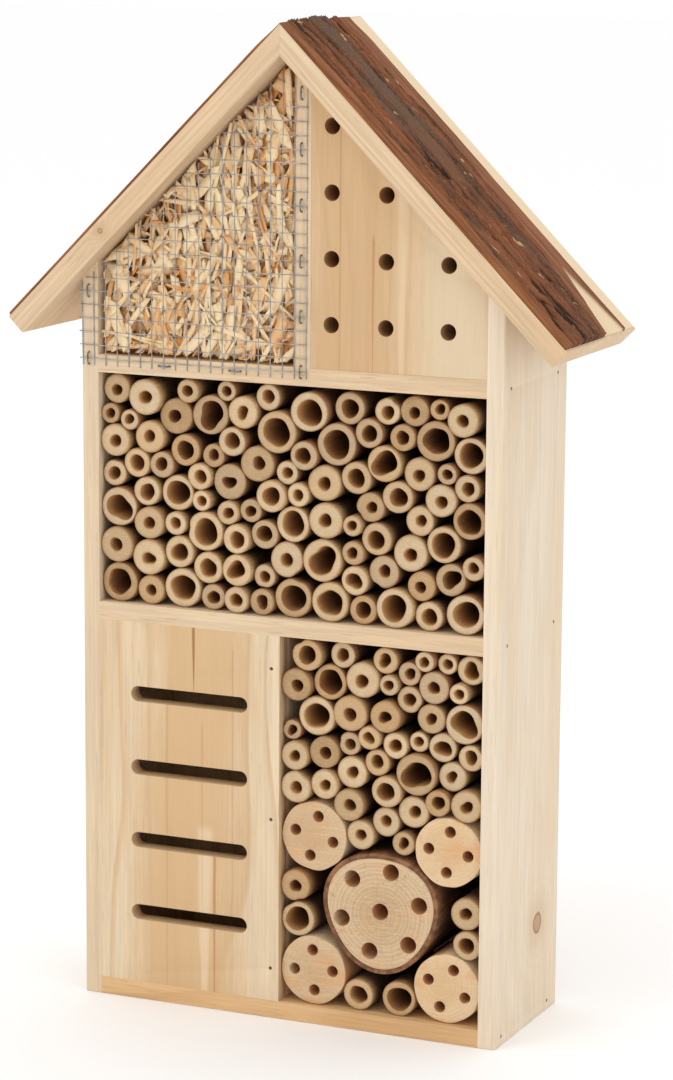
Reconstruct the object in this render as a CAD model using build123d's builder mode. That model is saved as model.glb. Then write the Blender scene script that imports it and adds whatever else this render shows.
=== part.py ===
"""Insect hotel: a narrow wooden house with a bark-covered saddle roof.

The house has a lower room split into a butterfly chamber and a log room, a middle
room packed with bamboo canes, and an attic with a wire-fronted shavings room beside
a drilled block. Millimetres. +Z is up and the front faces -Y. The origin is the
middle of the underside, halfway between the front and the back of the body.
"""
from build123d import *
import math
import os

# ---------------------------------------------------------------- driving sizes
body_width = 228.0            # over the two side panels
body_depth = 86.0             # front edge to back edge of the side panels
wall_height = 372.0           # outer height of a side panel
board = 9.0                   # every board of the body
back_thickness = 4.0          # plywood back, set in between the side panels
lower_room_height = 189.5
middle_room_height = 117.5
butterfly_share = 0.458       # part of the lower room's clear width behind the slots
edge_ease = 0.6               # small chamfer along the handled edges

roof_pitch = 45.0             # degrees
roof_board = 10.8
roof_slope_length = 211.5     # along the top of a roof board, ridge to eave
front_overhang = 11.5
bark_thickness = 4.6
bark_groove_depth = 2.2
bark_groove_pitch = 13.0
bark_front_band = 8.0         # smooth inner bark along the front edge
bark_back_strip = 9.0         # bare wood along the back edge
bark_eave_gap = 2.0
bark_front_share = 0.45       # height of the front band's outer edge, as a share of the bark's
bark_inner_share = 0.6        # the same at its inner edge
bark_plate_from = 0.2         # where a plate's flat top starts, as a share of the groove pitch
bark_plate_to = 0.75
bark_groove_at = 0.9
bark_back_slope = 2.0         # width of the bark's slope down to the bare strip
bark_back_gap = 1.0           # between the bare strip and the back edge

post_left = 3.0               # left face of the attic post
hole_diameter = 8.0           # drilled block
hole_depth = 62.0
hole_first_z = 22.0           # from the attic shelf to the first row
hole_columns = (11.0, 39.9, 72.6)  # from the post to each column
hole_row_pitch = 32.2
hole_edge_margin = 7.0        # least distance from a hole's centre to the roof

slot_length = 65.5            # butterfly slots
slot_height = 8.0
slot_pitch = 38.3
slot_count = 4

small_log_diameter = 36.0
big_log_radius = 31.0         # mean radius over the bark
big_log_swell = 1.3           # how far its three rounded corners stand out
big_log_bark = 2.4
log_hole_diameter = 5.7
log_hole_circle = 21.0
big_hole_diameter = 8.5
big_hole_circle = 43.4
big_hole_start = 15.0         # degrees from level to the first hole of its circle
big_hole_ring = 6
log_hole_ring = 4
log_hole_depth = 62.0

fill_recess = 3.0             # canes and logs stand back from the front edge
cane_bore_depth = 70.0        # up to the natural node that closes a cane
lay_gap = 0.15                # between canes, logs and the boards around them
shavings_gap = 0.6

wire = 0.6                    # welded mesh
wire_pitch_x = 6.5
wire_pitch_z = 6.8
mesh_side_inset = 0.7         # from the body's left side to the first upright wire
mesh_right_lap = 8.0          # how far it laps over the post
mesh_low_lap = 5.5            # how far it laps over the attic shelf's front edge
mesh_roof_gap = 1.2
mesh_top_rows = 3             # cross wires left out under the ridge

nail_shank = 1.2
nail_head = 1.8
nail_head_height = 0.6
nail_length = 22.0
tack_length = 12.0
roof_nail_length = 16.0
staple_wire = 0.9
staple_width = 7.0
staple_leg = 6.0
post_staple_inset = 2.5       # from the mesh's right edge to the staples on the post

hanger_width = 17.0
hanger_height = 44.0
hanger_thickness = 1.2        # let in flush with the back
hanger_corner = 7.7
hanger_bore = 8.0
hanger_slot = 4.4
hanger_slot_rise = 5.5
hanger_recess_room = 6.0      # how much wider the hollow behind the keyhole is
hanger_drop = 60.0            # from the ridge's underside to the middle of the plate
hanger_screw_spacing = 34.0
screw_shank = 2.6
screw_head = 5.6
screw_length = 10.0

# ------------------------------------------------------------- worked-out sizes
pitch = math.radians(roof_pitch)
front = -body_depth / 2
back = body_depth / 2
inner_back = back - back_thickness
inner_right = body_width / 2 - board
inner_left = -inner_right
ridge_under = wall_height + body_width / 2 * math.tan(pitch)
ridge_top = ridge_under + roof_board / math.cos(pitch)
base_top = board
lower_shelf_z = base_top + lower_room_height
middle_floor = lower_shelf_z + board
attic_shelf_z = middle_floor + middle_room_height
attic_floor = attic_shelf_z + board
inner_width = inner_right - inner_left
divider_left = inner_left + butterfly_share * (inner_width - board)
divider_right = divider_left + board
post_right = post_left + board
hanger_x = (post_left + post_right) / 2
hanger_z = ridge_under - hanger_drop
keyhole_z = hanger_z - hanger_slot_rise / 2
fill_front = front + fill_recess
fill_length = inner_back - fill_front
roof_front = front - front_overhang


def under_roof(x):
    """Height of the roof boards' underside above the point x."""
    return ridge_under - abs(x) * math.tan(pitch)


def save(part, name):
    """Labels one finished piece and writes it to its own file."""
    part.label = name
    export_step(part, f"parts/{name}.step")


def prism(points, y_from, y_to):
    """A straight piece along Y with the outline points, given as (x, z)."""
    with BuildPart() as piece:
        with BuildSketch(Plane.XZ.offset(-y_from)):
            with BuildLine():
                Polyline(*points, close=True)
            make_face()
        extrude(amount=y_from - y_to)
    return piece.part


def box_board(x_from, x_to, z_from, z_to, y_from=front, y_to=inner_back):
    """A square-edged board between the given faces."""
    return prism([(x_from, z_from), (x_to, z_from), (x_to, z_to), (x_from, z_to)], y_from, y_to)


# ------------------------------------------------------------------ fastenings
def pins(places, shank, head, head_height, length):
    """Nails or screws. Each place's +Z points out of the wood and lies on its face."""
    with BuildPart() as group:
        with Locations(*places):
            Cylinder(shank / 2, length, align=(Align.CENTER, Align.CENTER, Align.MAX))
            Cylinder(head / 2, head_height, align=(Align.CENTER, Align.CENTER, Align.MAX))
    return group.part


def facing(origin, normal):
    """A place on a board's face, looking out along the normal."""
    return Plane(origin=origin, z_dir=normal).location


def staples(spots):
    """Wire staples over the mesh. Each spot is (x, z, whether the crown stands upright)."""
    crown_y = front - 2 * wire - staple_wire / 2
    reach = staple_width / 2 - staple_wire / 2
    leg_end = front + staple_leg
    with BuildPart() as group:
        for x, z, upright in spots:
            across = (0, 0, 1) if upright else (1, 0, 0)
            ends = [
                (x - reach * across[0], z - reach * across[2]),
                (x + reach * across[0], z + reach * across[2]),
            ]
            for end_x, end_z in ends:
                with Locations((end_x, (crown_y + leg_end) / 2, end_z)):
                    Box(staple_wire, leg_end - crown_y, staple_wire)
            with Locations((x, crown_y, z)):
                Box(
                    staple_wire + 2 * reach * across[0],
                    staple_wire,
                    staple_wire + 2 * reach * across[2],
                )
    return group.part


nail_inset = 9.0              # from the front or back edge to a side nail
shelf_levels = [base_top - board / 2, lower_shelf_z + board / 2, attic_shelf_z + board / 2]
side_spots = []
for side in (-1, 1):
    for level in shelf_levels:
        for y in (front + nail_inset, back - back_thickness - nail_inset):
            side_spots.append(facing((side * body_width / 2, y, level), (side, 0, 0)))
side_nails = pins(side_spots, nail_shank, nail_head, nail_head_height, nail_length)

front_nail_inset = 17.0       # from the ends of the slotted front to its outer nails
front_nail_x = (divider_left + divider_right) / 2
front_nail_levels = [
    base_top + front_nail_inset,
    (base_top + lower_shelf_z) / 2,
    lower_shelf_z - front_nail_inset,
]
front_spots = [facing((front_nail_x, front, level), (0, -1, 0)) for level in front_nail_levels]
front_nails = pins(front_spots, nail_shank, nail_head, nail_head_height, nail_length)

back_nail_spread = 0.38       # share of the inner width, each side of the middle
back_spots = []
for level in shelf_levels:
    for x in (-back_nail_spread * inner_width, back_nail_spread * inner_width):
        back_spots.append(facing((x, back, level), (0, 1, 0)))
back_nails = pins(back_spots, nail_shank, nail_head, nail_head_height, tack_length)

roof_nail_inset = 14.0        # from the front and back faces of the body
roof_normal_x = math.sin(pitch)
roof_normal_z = math.cos(pitch)
roof_spots = []
for side in (-1, 1):
    sideways = (roof_nail_length - roof_board) * roof_normal_x
    wall_x = inner_right + nail_shank + sideways
    top_x = wall_x + roof_board * roof_normal_x
    top_z = under_roof(wall_x) + roof_board * roof_normal_z
    for y in (front + roof_nail_inset, back - roof_nail_inset):
        roof_spots.append(facing((side * top_x, y, top_z), (side * roof_normal_x, 0, roof_normal_z)))
roof_nails = pins(roof_spots, nail_shank, nail_head, nail_head_height, roof_nail_length)

mesh_left = -body_width / 2 + mesh_side_inset
mesh_right = post_left + mesh_right_lap
mesh_low = attic_floor - mesh_low_lap
first_cross_wire = mesh_low + wire_pitch_z / 2
post_staple_x = mesh_right - post_staple_inset
post_staple_step = 4          # cross wires from one staple on the post to the next


def over_cross_wire(x, z):
    """The spot nearest (x, z) where an upright staple straddles a cross wire."""
    column = math.floor((x - mesh_left) / wire_pitch_x)
    row = round((z - first_cross_wire) / wire_pitch_z)
    spot_x = mesh_left + (column + 0.5) * wire_pitch_x
    return (spot_x, first_cross_wire + row * wire_pitch_z, True)


def over_upright_wire(x):
    """The spot nearest x where a level staple straddles an upright wire's lower end."""
    column = round((x - mesh_left) / wire_pitch_x)
    return (mesh_left + column * wire_pitch_x, first_cross_wire - wire_pitch_z / 4, False)


panel_x = -body_width / 2 + board / 2
staple_spots = [over_cross_wire(panel_x, mesh_low), over_cross_wire(panel_x, wall_height - board)]
for share in (0.36, 0.73):
    low_x = inner_left + share * (post_left - inner_left)
    staple_spots.append(over_upright_wire(low_x))
post_staple_z = first_cross_wire
while post_staple_z < under_roof(post_staple_x) - staple_width:
    staple_spots.append(over_cross_wire(post_staple_x, post_staple_z))
    post_staple_z += post_staple_step * wire_pitch_z
mesh_staples = staples(staple_spots)

# ---------------------------------------------------------------- body of boards
def side_panel(side):
    """A side wall, its top planed to the roof's slope."""
    inner_x = side * inner_right
    outer_x = side * body_width / 2
    outline = [(inner_x, 0), (outer_x, 0), (outer_x, under_roof(outer_x)), (inner_x, under_roof(inner_x))]
    blank = prism(outline, front, back)
    with BuildPart() as panel:
        add(blank)
        upright = panel.edges().filter_by(Axis.Z).group_by(Axis.X)
        chamfer(upright[-1 if side > 0 else 0], edge_ease)
        add(side_nails, mode=Mode.SUBTRACT)
        add(roof_nails, mode=Mode.SUBTRACT)
        add(mesh_staples, mode=Mode.SUBTRACT)
    return panel.part


def level_board(z_from):
    """The base or a shelf, between the side panels and in front of the back."""
    blank = box_board(inner_left, inner_right, z_from, z_from + board)
    with BuildPart() as shelf:
        add(blank)
        add(side_nails, mode=Mode.SUBTRACT)
        add(back_nails, mode=Mode.SUBTRACT)
        add(mesh_staples, mode=Mode.SUBTRACT)
    return shelf.part


def slotted_front():
    """The front of the butterfly chamber, with level round-ended slots."""
    blank = box_board(inner_left, divider_right, base_top, lower_shelf_z, front, front + board)
    middle_x = (inner_left + divider_right) / 2
    middle_z = (base_top + lower_shelf_z) / 2
    with BuildPart() as panel:
        add(blank)
        with BuildSketch(Plane.XZ.offset(-front)):
            with Locations((middle_x, middle_z)):
                with GridLocations(slot_length, slot_pitch, 1, slot_count):
                    SlotOverall(slot_length, slot_height)
        extrude(amount=-board, mode=Mode.SUBTRACT)
        add(front_nails, mode=Mode.SUBTRACT)
    return panel.part


def divider():
    """The upright behind the slotted front's edge, beside the log room."""
    blank = box_board(divider_left, divider_right, base_top, lower_shelf_z, front + board)
    with BuildPart() as piece:
        add(blank)
        add(front_nails, mode=Mode.SUBTRACT)
    return piece.part


def post():
    """The upright that parts the attic and carries the mesh's edge."""
    outline = [
        (post_left, attic_floor),
        (post_right, attic_floor),
        (post_right, under_roof(post_right)),
        (post_left, under_roof(post_left)),
    ]
    blank = prism(outline, front, inner_back)
    with BuildPart() as piece:
        add(blank)
        add(mesh_staples, mode=Mode.SUBTRACT)
        add(hanger_screws, mode=Mode.SUBTRACT)
    return piece.part


def block_hole_centres():
    """Rows and columns of holes, as far as the roof leaves room above them."""
    centres = []
    for column in hole_columns:
        column_x = post_right + column
        if column_x + hole_edge_margin > inner_right:
            continue
        row_z = attic_floor + hole_first_z
        while (under_roof(column_x) - row_z) * math.cos(pitch) > hole_edge_margin:
            centres.append((column_x, row_z))
            row_z += hole_row_pitch
    return centres


def block():
    """The solid block under the right of the roof, drilled for solitary bees."""
    outline = [
        (post_right, attic_floor),
        (inner_right, attic_floor),
        (inner_right, under_roof(inner_right)),
        (post_right, under_roof(post_right)),
    ]
    blank = prism(outline, front, inner_back)
    with BuildPart() as piece:
        add(blank)
        with BuildSketch(Plane.XZ.offset(-front)):
            with Locations(*block_hole_centres()):
                Circle(hole_diameter / 2)
        extrude(amount=-hole_depth, mode=Mode.SUBTRACT)
    return piece.part


hanger_spots = []
for side in (-1, 1):
    screw_z = hanger_z + side * hanger_screw_spacing / 2
    hanger_spots.append(facing((hanger_x, back, screw_z), (0, 1, 0)))
hanger_screws = pins(hanger_spots, screw_shank, screw_head, hanger_thickness, screw_length)


def back_panel():
    """The plywood back, in between the side panels and under the roof."""
    outline = [
        (inner_left, 0),
        (inner_right, 0),
        (inner_right, under_roof(inner_right)),
        (0, ridge_under),
        (inner_left, under_roof(inner_left)),
    ]
    blank = prism(outline, inner_back, back)
    recess = hanger_bore + hanger_recess_room
    with BuildPart() as panel:
        add(blank)
        with BuildSketch(Plane.XZ.offset(-back)):
            with Locations((hanger_x, hanger_z)):
                RectangleRounded(hanger_width, hanger_height, hanger_corner)
        extrude(amount=hanger_thickness, mode=Mode.SUBTRACT)
        with BuildSketch(Plane.XZ.offset(-back)):
            with Locations((hanger_x, hanger_z)):
                SlotOverall(recess + hanger_slot_rise, recess, rotation=90)
        extrude(amount=back_thickness, mode=Mode.SUBTRACT)
        add(back_nails, mode=Mode.SUBTRACT)
        add(hanger_screws, mode=Mode.SUBTRACT)
    return panel.part


def hanger_plate():
    """A pressed keyhole plate, let in flush with the back, for hanging the house on a screw."""
    with BuildPart() as plate:
        with BuildSketch(Plane.XZ.offset(-back)):
            with Locations((hanger_x, hanger_z)):
                RectangleRounded(hanger_width, hanger_height, hanger_corner)
            with Locations((hanger_x, keyhole_z)):
                Circle(hanger_bore / 2, mode=Mode.SUBTRACT)
            with Locations((hanger_x, keyhole_z + hanger_slot_rise / 2)):
                SlotOverall(
                    hanger_slot_rise + hanger_slot, hanger_slot, rotation=90, mode=Mode.SUBTRACT
                )
        extrude(amount=hanger_thickness)
        add(hanger_screws, mode=Mode.SUBTRACT)
    return plate.part


# ------------------------------------------------------------------------- roof
def slope_point(side, along, above):
    """A point (x, z) given by its distance from the ridge line and above the board."""
    x = along * math.cos(pitch) + above * math.sin(pitch)
    z = ridge_top - along * math.sin(pitch) + above * math.cos(pitch)
    return (side * x, z)


def roof_panel(side):
    """A roof board, mitred at the ridge and cut square at the eave."""
    outline = [
        (0, ridge_under),
        slope_point(side, roof_slope_length, -roof_board),
        slope_point(side, roof_slope_length, 0),
        (0, ridge_top),
    ]
    blank = prism(outline, roof_front, back)
    with BuildPart() as panel:
        add(blank)
        add(roof_nails, mode=Mode.SUBTRACT)
    return panel.part


def bark(side):
    """The bark left on a roof board, with grooves that run from ridge to eave."""
    rough_from = roof_front + bark_front_band
    rough_to = back - bark_back_strip
    groove_count = max(1, int((rough_to - rough_from) / bark_groove_pitch))
    groove_step = (rough_to - rough_from) / groove_count
    profile = [(roof_front, 0), (roof_front, bark_thickness * bark_front_share)]
    profile.append((rough_from, bark_thickness * bark_inner_share))
    for number in range(groove_count):
        start = rough_from + number * groove_step
        profile.append((start + groove_step * bark_plate_from, bark_thickness))
        profile.append((start + groove_step * bark_plate_to, bark_thickness))
        profile.append((start + groove_step * bark_groove_at, bark_thickness - bark_groove_depth))
    profile.append((rough_to + bark_back_slope, bark_thickness - bark_groove_depth))
    profile.append((back - bark_back_gap, 0))
    outer_x, outer_z = slope_point(side, roof_slope_length, 0)
    slope = Plane(
        origin=(outer_x, 0, outer_z),
        x_dir=(0, 1, 0),
        z_dir=(side * math.cos(pitch), 0, -math.sin(pitch)),
    )
    above = slope.y_dir.Z
    with BuildPart() as piece:
        with BuildSketch(slope.offset(-bark_eave_gap)):
            with BuildLine():
                Polyline(*[(y, height if above > 0 else -height) for y, height in profile], close=True)
            make_face()
        extrude(amount=-(roof_slope_length - bark_eave_gap + bark_thickness * math.tan(pitch)))
        split(bisect_by=Plane(origin=(0, 0, 0), z_dir=(side, 0, 0)), keep=Keep.TOP)
    return piece.part


# -------------------------------------------------------- canes and logs inside
# Outer and bore diameters of the sorted canes, smallest first.
CANE_SIZES = {
    "a": (10.5, 5.0),
    "b": (12.2, 5.5),
    "c": (13.6, 6.5),
    "d": (15.0, 8.0),
    "D": (15.2, 5.5),
    "e": (16.4, 9.0),
    "E": (16.6, 6.0),
    "f": (18.3, 12.3),
    "F": (18.4, 6.5),
    "g": (20.3, 13.0),
    "h": (21.5, 14.0),
}
MIDDLE_ROWS = [
    "gDgcccggdgdg",
    "FFeeebFhdEDeb",
    "gEbgddfbFeFffD",
    "cdfabbebaFDeEcf",
    "dccFbFbdehfEga",
    "EEedhgdcED",
    "aaFgEFcfecebf",
]
# A dot is a blank the width of a thin cane.
LOWER_ROWS = [
    "....ef....",
    "f........d",
    "E........E",
    ".........b",
    "....DD....",
    "E..EEe..E",
    "DEcchDc",
    "DEbbcadgD",
    "agFEcEad",
    "EfFafbe",
    "ee",
]
BLANK = 8.0
SIDEWAYS_COST = 0.5           # how much a cane would rather lie low than near its place


def resting_places(radius, lying, left, right, floor):
    """Every centre where a round of this radius can lie against two neighbours."""
    low_x = left + radius + lay_gap
    high_x = right - radius - lay_gap
    low_z = floor + radius + lay_gap
    places = [(low_x, low_z), (high_x, low_z)]
    for x, z, other in lying:
        reach = radius + other + lay_gap
        if abs(low_z - z) <= reach:
            run = math.sqrt(reach**2 - (low_z - z) ** 2)
            places += [(x - run, low_z), (x + run, low_z)]
        for wall_x in (low_x, high_x):
            if abs(wall_x - x) <= reach:
                places.append((wall_x, z + math.sqrt(reach**2 - (wall_x - x) ** 2)))
    for number, (x1, z1, radius_1) in enumerate(lying):
        for x2, z2, radius_2 in lying[:number]:
            apart = math.hypot(x2 - x1, z2 - z1)
            reach_1 = radius + radius_1 + lay_gap
            reach_2 = radius + radius_2 + lay_gap
            if apart > reach_1 + reach_2:
                continue
            run = (reach_1**2 - reach_2**2 + apart**2) / (2 * apart)
            if abs(run) > reach_1:
                continue
            rise = math.sqrt(reach_1**2 - run**2)
            unit_x = (x2 - x1) / apart
            unit_z = (z2 - z1) / apart
            for turn in (-1, 1):
                places.append(
                    (x1 + run * unit_x - turn * rise * unit_z, z1 + run * unit_z + turn * rise * unit_x)
                )
    slack = 1e-6
    free = []
    for x, z in places:
        inside = low_x - slack <= x <= high_x + slack and z >= low_z - slack
        if inside and all(
            math.hypot(x - x2, z - z2) >= radius + other + lay_gap - slack for x2, z2, other in lying
        ):
            free.append((x, z))
    return free


def lay_canes(rows, left, right, floor, ceiling, logs=()):
    """Lays the rows of canes from the floor up, then fills what is left under the ceiling.

    Returns one list for each row and one for the last canes pushed in, and each cane
    is (x, z, outer radius, bore radius).
    """
    lying = list(logs)
    laid = []

    def lay(size, aim_x):
        outer, bore = CANE_SIZES[size]
        radius = outer / 2
        spots = resting_places(radius, lying, left, right, floor)
        spots = [spot for spot in spots if spot[1] + radius + lay_gap <= ceiling]
        if not spots:
            return None
        x, z = min(spots, key=lambda spot: spot[1] + SIDEWAYS_COST * abs(spot[0] - aim_x))
        lying.append((x, z, radius))
        return (x, z, radius, bore / 2)

    for row in rows:
        widths = [BLANK if size == "." else CANE_SIZES[size][0] for size in row]
        spread = (right - left) / sum(widths)
        canes = []
        edge = left
        for size, width in zip(row, widths):
            aim_x = edge + width * spread / 2
            edge += width * spread
            cane = None if size == "." else lay(size, aim_x)
            if cane:
                canes.append(cane)
        laid.append(canes)
    last = []
    for size in sorted(CANE_SIZES, key=lambda name: -CANE_SIZES[name][0]):
        cane = lay(size, (left + right) / 2)
        while cane:
            last.append(cane)
            cane = lay(size, (left + right) / 2)
    laid.append(last)
    return [canes for canes in laid if canes]


def cane_row(canes):
    """Bamboo canes lying side by side, open in front and closed by a node behind."""
    with BuildPart() as row:
        with BuildSketch(Plane.XZ.offset(-fill_front)):
            for x, z, radius, _ in canes:
                with Locations((x, z)):
                    Circle(radius)
        extrude(amount=-fill_length)
        with BuildSketch(Plane.XZ.offset(-fill_front)):
            for x, z, _, bore in canes:
                with Locations((x, z)):
                    Circle(bore)
        extrude(amount=-cane_bore_depth, mode=Mode.SUBTRACT)
    return row.part


def small_log(centre, turn):
    """A round of branch wood with four holes."""
    with BuildPart() as log:
        with BuildSketch(Plane.XZ.offset(-fill_front)):
            with Locations(centre):
                Circle(small_log_diameter / 2)
        extrude(amount=-fill_length)
        with BuildSketch(Plane.XZ.offset(-fill_front)):
            with Locations(centre):
                with PolarLocations(log_hole_circle / 2, log_hole_ring, start_angle=turn):
                    Circle(log_hole_diameter / 2)
        extrude(amount=-log_hole_depth, mode=Mode.SUBTRACT)
    return log.part


def big_log_outline(inset):
    """Points round the big log: nearly round, with three soft corners, one at the bottom."""
    points = []
    count = 24
    for number in range(count):
        angle = math.tau * number / count
        swell = big_log_swell * math.cos(3 * (angle + math.pi / 2))
        radius = big_log_radius + swell - inset
        points.append((radius * math.cos(angle), radius * math.sin(angle)))
    return points


def big_log_solid(centre, inset):
    """The big log's round, inset from its outside by the given amount."""
    cx, cz = centre
    with BuildPart() as log:
        with BuildSketch(Plane.XZ.offset(-fill_front)):
            with BuildLine():
                Spline(*[(cx + x, cz + z) for x, z in big_log_outline(inset)], periodic=True)
            make_face()
        extrude(amount=-fill_length)
    return log.part


def big_log(centre):
    """The wood of the big log, with one hole in the middle and six round it."""
    wood = big_log_solid(centre, big_log_bark)
    with BuildPart() as log:
        add(wood)
        with BuildSketch(Plane.XZ.offset(-fill_front)):
            with Locations(centre):
                Circle(big_hole_diameter / 2)
                with PolarLocations(big_hole_circle / 2, big_hole_ring, start_angle=big_hole_start):
                    Circle(big_hole_diameter / 2)
        extrude(amount=-log_hole_depth, mode=Mode.SUBTRACT)
    return log.part


def big_log_skin(centre):
    """The bark round the big log."""
    outer = big_log_solid(centre, 0)
    wood = big_log_solid(centre, big_log_bark)
    with BuildPart() as skin:
        add(outer)
        add(wood, mode=Mode.SUBTRACT)
    return skin.part


small_radius = small_log_diameter / 2
left_log_x = divider_right + small_radius + lay_gap
right_log_x = inner_right - small_radius - lay_gap
low_log_z = base_top + small_radius + lay_gap
big_log_reach = big_log_radius + big_log_swell + small_radius + lay_gap
half_apart = (right_log_x - left_log_x) / 2
# The big log lies on the two low ones, or on the base where they are far apart.
log_rise = math.sqrt(max(0, big_log_reach**2 - half_apart**2))
big_log_z = max(low_log_z + log_rise, base_top + big_log_radius + big_log_swell + lay_gap)
big_log_centre = ((left_log_x + right_log_x) / 2, big_log_z)
high_log_z = max(big_log_z + log_rise, low_log_z + small_log_diameter + lay_gap)
log_turns = {
    "small_log_low_left": ((left_log_x, low_log_z), 3.0),
    "small_log_low_right": ((right_log_x, low_log_z), -20.0),
    "small_log_high_left": ((left_log_x, high_log_z), -12.0),
    "small_log_high_right": ((right_log_x, high_log_z), -5.0),
}


# ---------------------------------------------------- shavings and their wire front
def shavings():
    """The room full of loose wood shavings, as one closed solid."""
    left = inner_left + shavings_gap
    right = post_left - shavings_gap
    floor = attic_floor + shavings_gap
    drop = shavings_gap / math.cos(pitch)
    outline = [(left, floor), (right, floor), (right, under_roof(right) - drop)]
    outline += [(0, ridge_under - drop), (left, under_roof(left) - drop)]
    return prism(outline, front + shavings_gap, inner_back - shavings_gap)


def wire_mesh():
    """Welded mesh over the shavings, cut to the slope of the roof."""
    with BuildPart() as mesh:
        with BuildSketch(Plane.XZ.offset(-front)):
            x = mesh_left
            while x < mesh_right:
                top = under_roof(x) - mesh_roof_gap
                with Locations((x, (mesh_low + top) / 2)):
                    Rectangle(wire, top - mesh_low)
                x += wire_pitch_x
            z = first_cross_wire
            while z < ridge_under - mesh_top_rows * wire_pitch_z:
                reach = (ridge_under - z) / math.tan(pitch) - mesh_roof_gap
                x_from = max(mesh_left - wire, -reach)
                x_to = min(mesh_right, reach)
                with Locations(((x_from + x_to) / 2, z)):
                    Rectangle(x_to - x_from, wire)
                z += wire_pitch_z
        extrude(amount=2 * wire)
    return mesh.part


# -------------------------------------------------------------- write the pieces
os.makedirs("parts", exist_ok=True)

save(side_nails, "side_nails")
save(front_nails, "front_nails")
save(back_nails, "back_nails")
save(roof_nails, "roof_nails")
save(mesh_staples, "mesh_staples")
save(hanger_screws, "hanger_screws")
save(hanger_plate(), "hanger_plate")
save(side_panel(-1), "left_side_panel")
save(side_panel(1), "right_side_panel")
save(level_board(0), "base_board")
save(level_board(lower_shelf_z), "lower_shelf")
save(level_board(attic_shelf_z), "attic_shelf")
save(slotted_front(), "butterfly_front")
save(divider(), "lower_divider")
save(post(), "attic_post")
save(block(), "drilled_block")
save(back_panel(), "back_panel")
save(roof_panel(-1), "left_roof_board")
save(roof_panel(1), "right_roof_board")
save(bark(-1), "left_bark")
save(bark(1), "right_bark")
save(shavings(), "wood_shavings")
save(wire_mesh(), "wire_mesh")
save(big_log(big_log_centre), "big_log")
save(big_log_skin(big_log_centre), "big_log_bark")
for name, (centre, turn) in log_turns.items():
    save(small_log(centre, turn), name)

middle_canes = lay_canes(MIDDLE_ROWS, inner_left, inner_right, middle_floor, attic_shelf_z)
for number, canes in enumerate(middle_canes, start=1):
    save(cane_row(canes), f"middle_canes_{number}")

logs = [(*centre, small_radius) for centre, turn in log_turns.values()]
logs.append((*big_log_centre, big_log_radius + big_log_swell))
lower_canes = lay_canes(LOWER_ROWS, divider_right, inner_right, base_top, lower_shelf_z, logs)
for number, canes in enumerate(lower_canes, start=1):
    save(cane_row(canes), f"lower_canes_{number}")
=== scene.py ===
"""Insect hotel: finishes the wooden house, its bark roof, canes, logs, shavings and wire."""

import math
import random

import bmesh
import bpy
import numpy as np
from bpy.props import FloatProperty, FloatVectorProperty, IntProperty, PointerProperty
from mathutils import Matrix, Vector, noise


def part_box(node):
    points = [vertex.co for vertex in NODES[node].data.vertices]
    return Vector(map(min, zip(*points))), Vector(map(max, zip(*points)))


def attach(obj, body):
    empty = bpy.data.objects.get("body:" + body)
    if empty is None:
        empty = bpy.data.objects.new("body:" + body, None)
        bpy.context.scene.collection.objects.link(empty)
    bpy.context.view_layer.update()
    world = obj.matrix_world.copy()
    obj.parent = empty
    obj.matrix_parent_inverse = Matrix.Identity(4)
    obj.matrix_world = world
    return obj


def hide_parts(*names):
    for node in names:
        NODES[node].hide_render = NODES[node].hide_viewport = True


bl_info = {
    "name": "Insect Hotel",
    "version": (1, 0, 0),
    "blender": (4, 5, 0),
    "location": "3D View > Sidebar > Insect Hotel",
    "description": "Builds the boards, bark roof, canes, logs, shavings and mesh of an insect hotel",
    "category": "Object",
}

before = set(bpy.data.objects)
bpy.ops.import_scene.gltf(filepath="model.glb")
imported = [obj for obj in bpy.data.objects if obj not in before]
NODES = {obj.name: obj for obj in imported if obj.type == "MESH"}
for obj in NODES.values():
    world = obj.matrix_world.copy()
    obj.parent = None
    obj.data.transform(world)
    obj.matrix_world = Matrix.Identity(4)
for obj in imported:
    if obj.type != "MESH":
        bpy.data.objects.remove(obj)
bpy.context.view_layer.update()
MM = 0.001

# The front, the roof's edge and the inside of its ridge, read from the frame.
FRONT_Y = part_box("right_side_panel")[0].y
ROOF_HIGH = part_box("right_roof_board")[1]
RIDGE_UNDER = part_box("back_panel")[1].z
ROOF_PITCH = math.radians(45.0)

# The camera's place in metres and its turns in degrees.
CAMERA_PLACE = (0.7296, -1.6278, 0.5743)
CAMERA_YAW = 23.92
CAMERA_PITCH = -10.60
CAMERA_ROLL = -0.40
LIGHT_AIM = (0, 0, 0.27)
FLOOR_REACH = 12.0
FLOOR_DROP = 0.0002
FLOOR_COLOUR = (0.99, 0.99, 0.99, 1.0)

# Edges sharper than this are rounded over; flatter ones are part of a curve.
HARD_EDGE = math.radians(35)
FLAT_ENOUGH = math.radians(0.4)
SAME_POINT = 1e-6
SAME_DEPTH = 1e-5

# Defaults of the node groups' inputs.
NOWHERE = (0.0, 0.0, 0.0)
WHITE = (1.0, 1.0, 1.0, 1.0)
BLACK = (0.0, 0.0, 0.0, 1.0)


def need(*names):
    """Stops the step if the frame lacks a node that it finishes."""
    missing = [name for name in names if name not in NODES]
    if missing:
        raise RuntimeError("The frame has no node called " + ", ".join(missing))


def under_roof(x):
    """Height of the roof's underside above the point x."""
    return RIDGE_UNDER - abs(x) * math.tan(ROOF_PITCH)


def smooth(low, high, value):
    """0 below low, 1 above high and an S-curve between."""
    t = min(max((value - low) / (high - low), 0.0), 1.0)
    return t * t * (3 - 2 * t)


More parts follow.
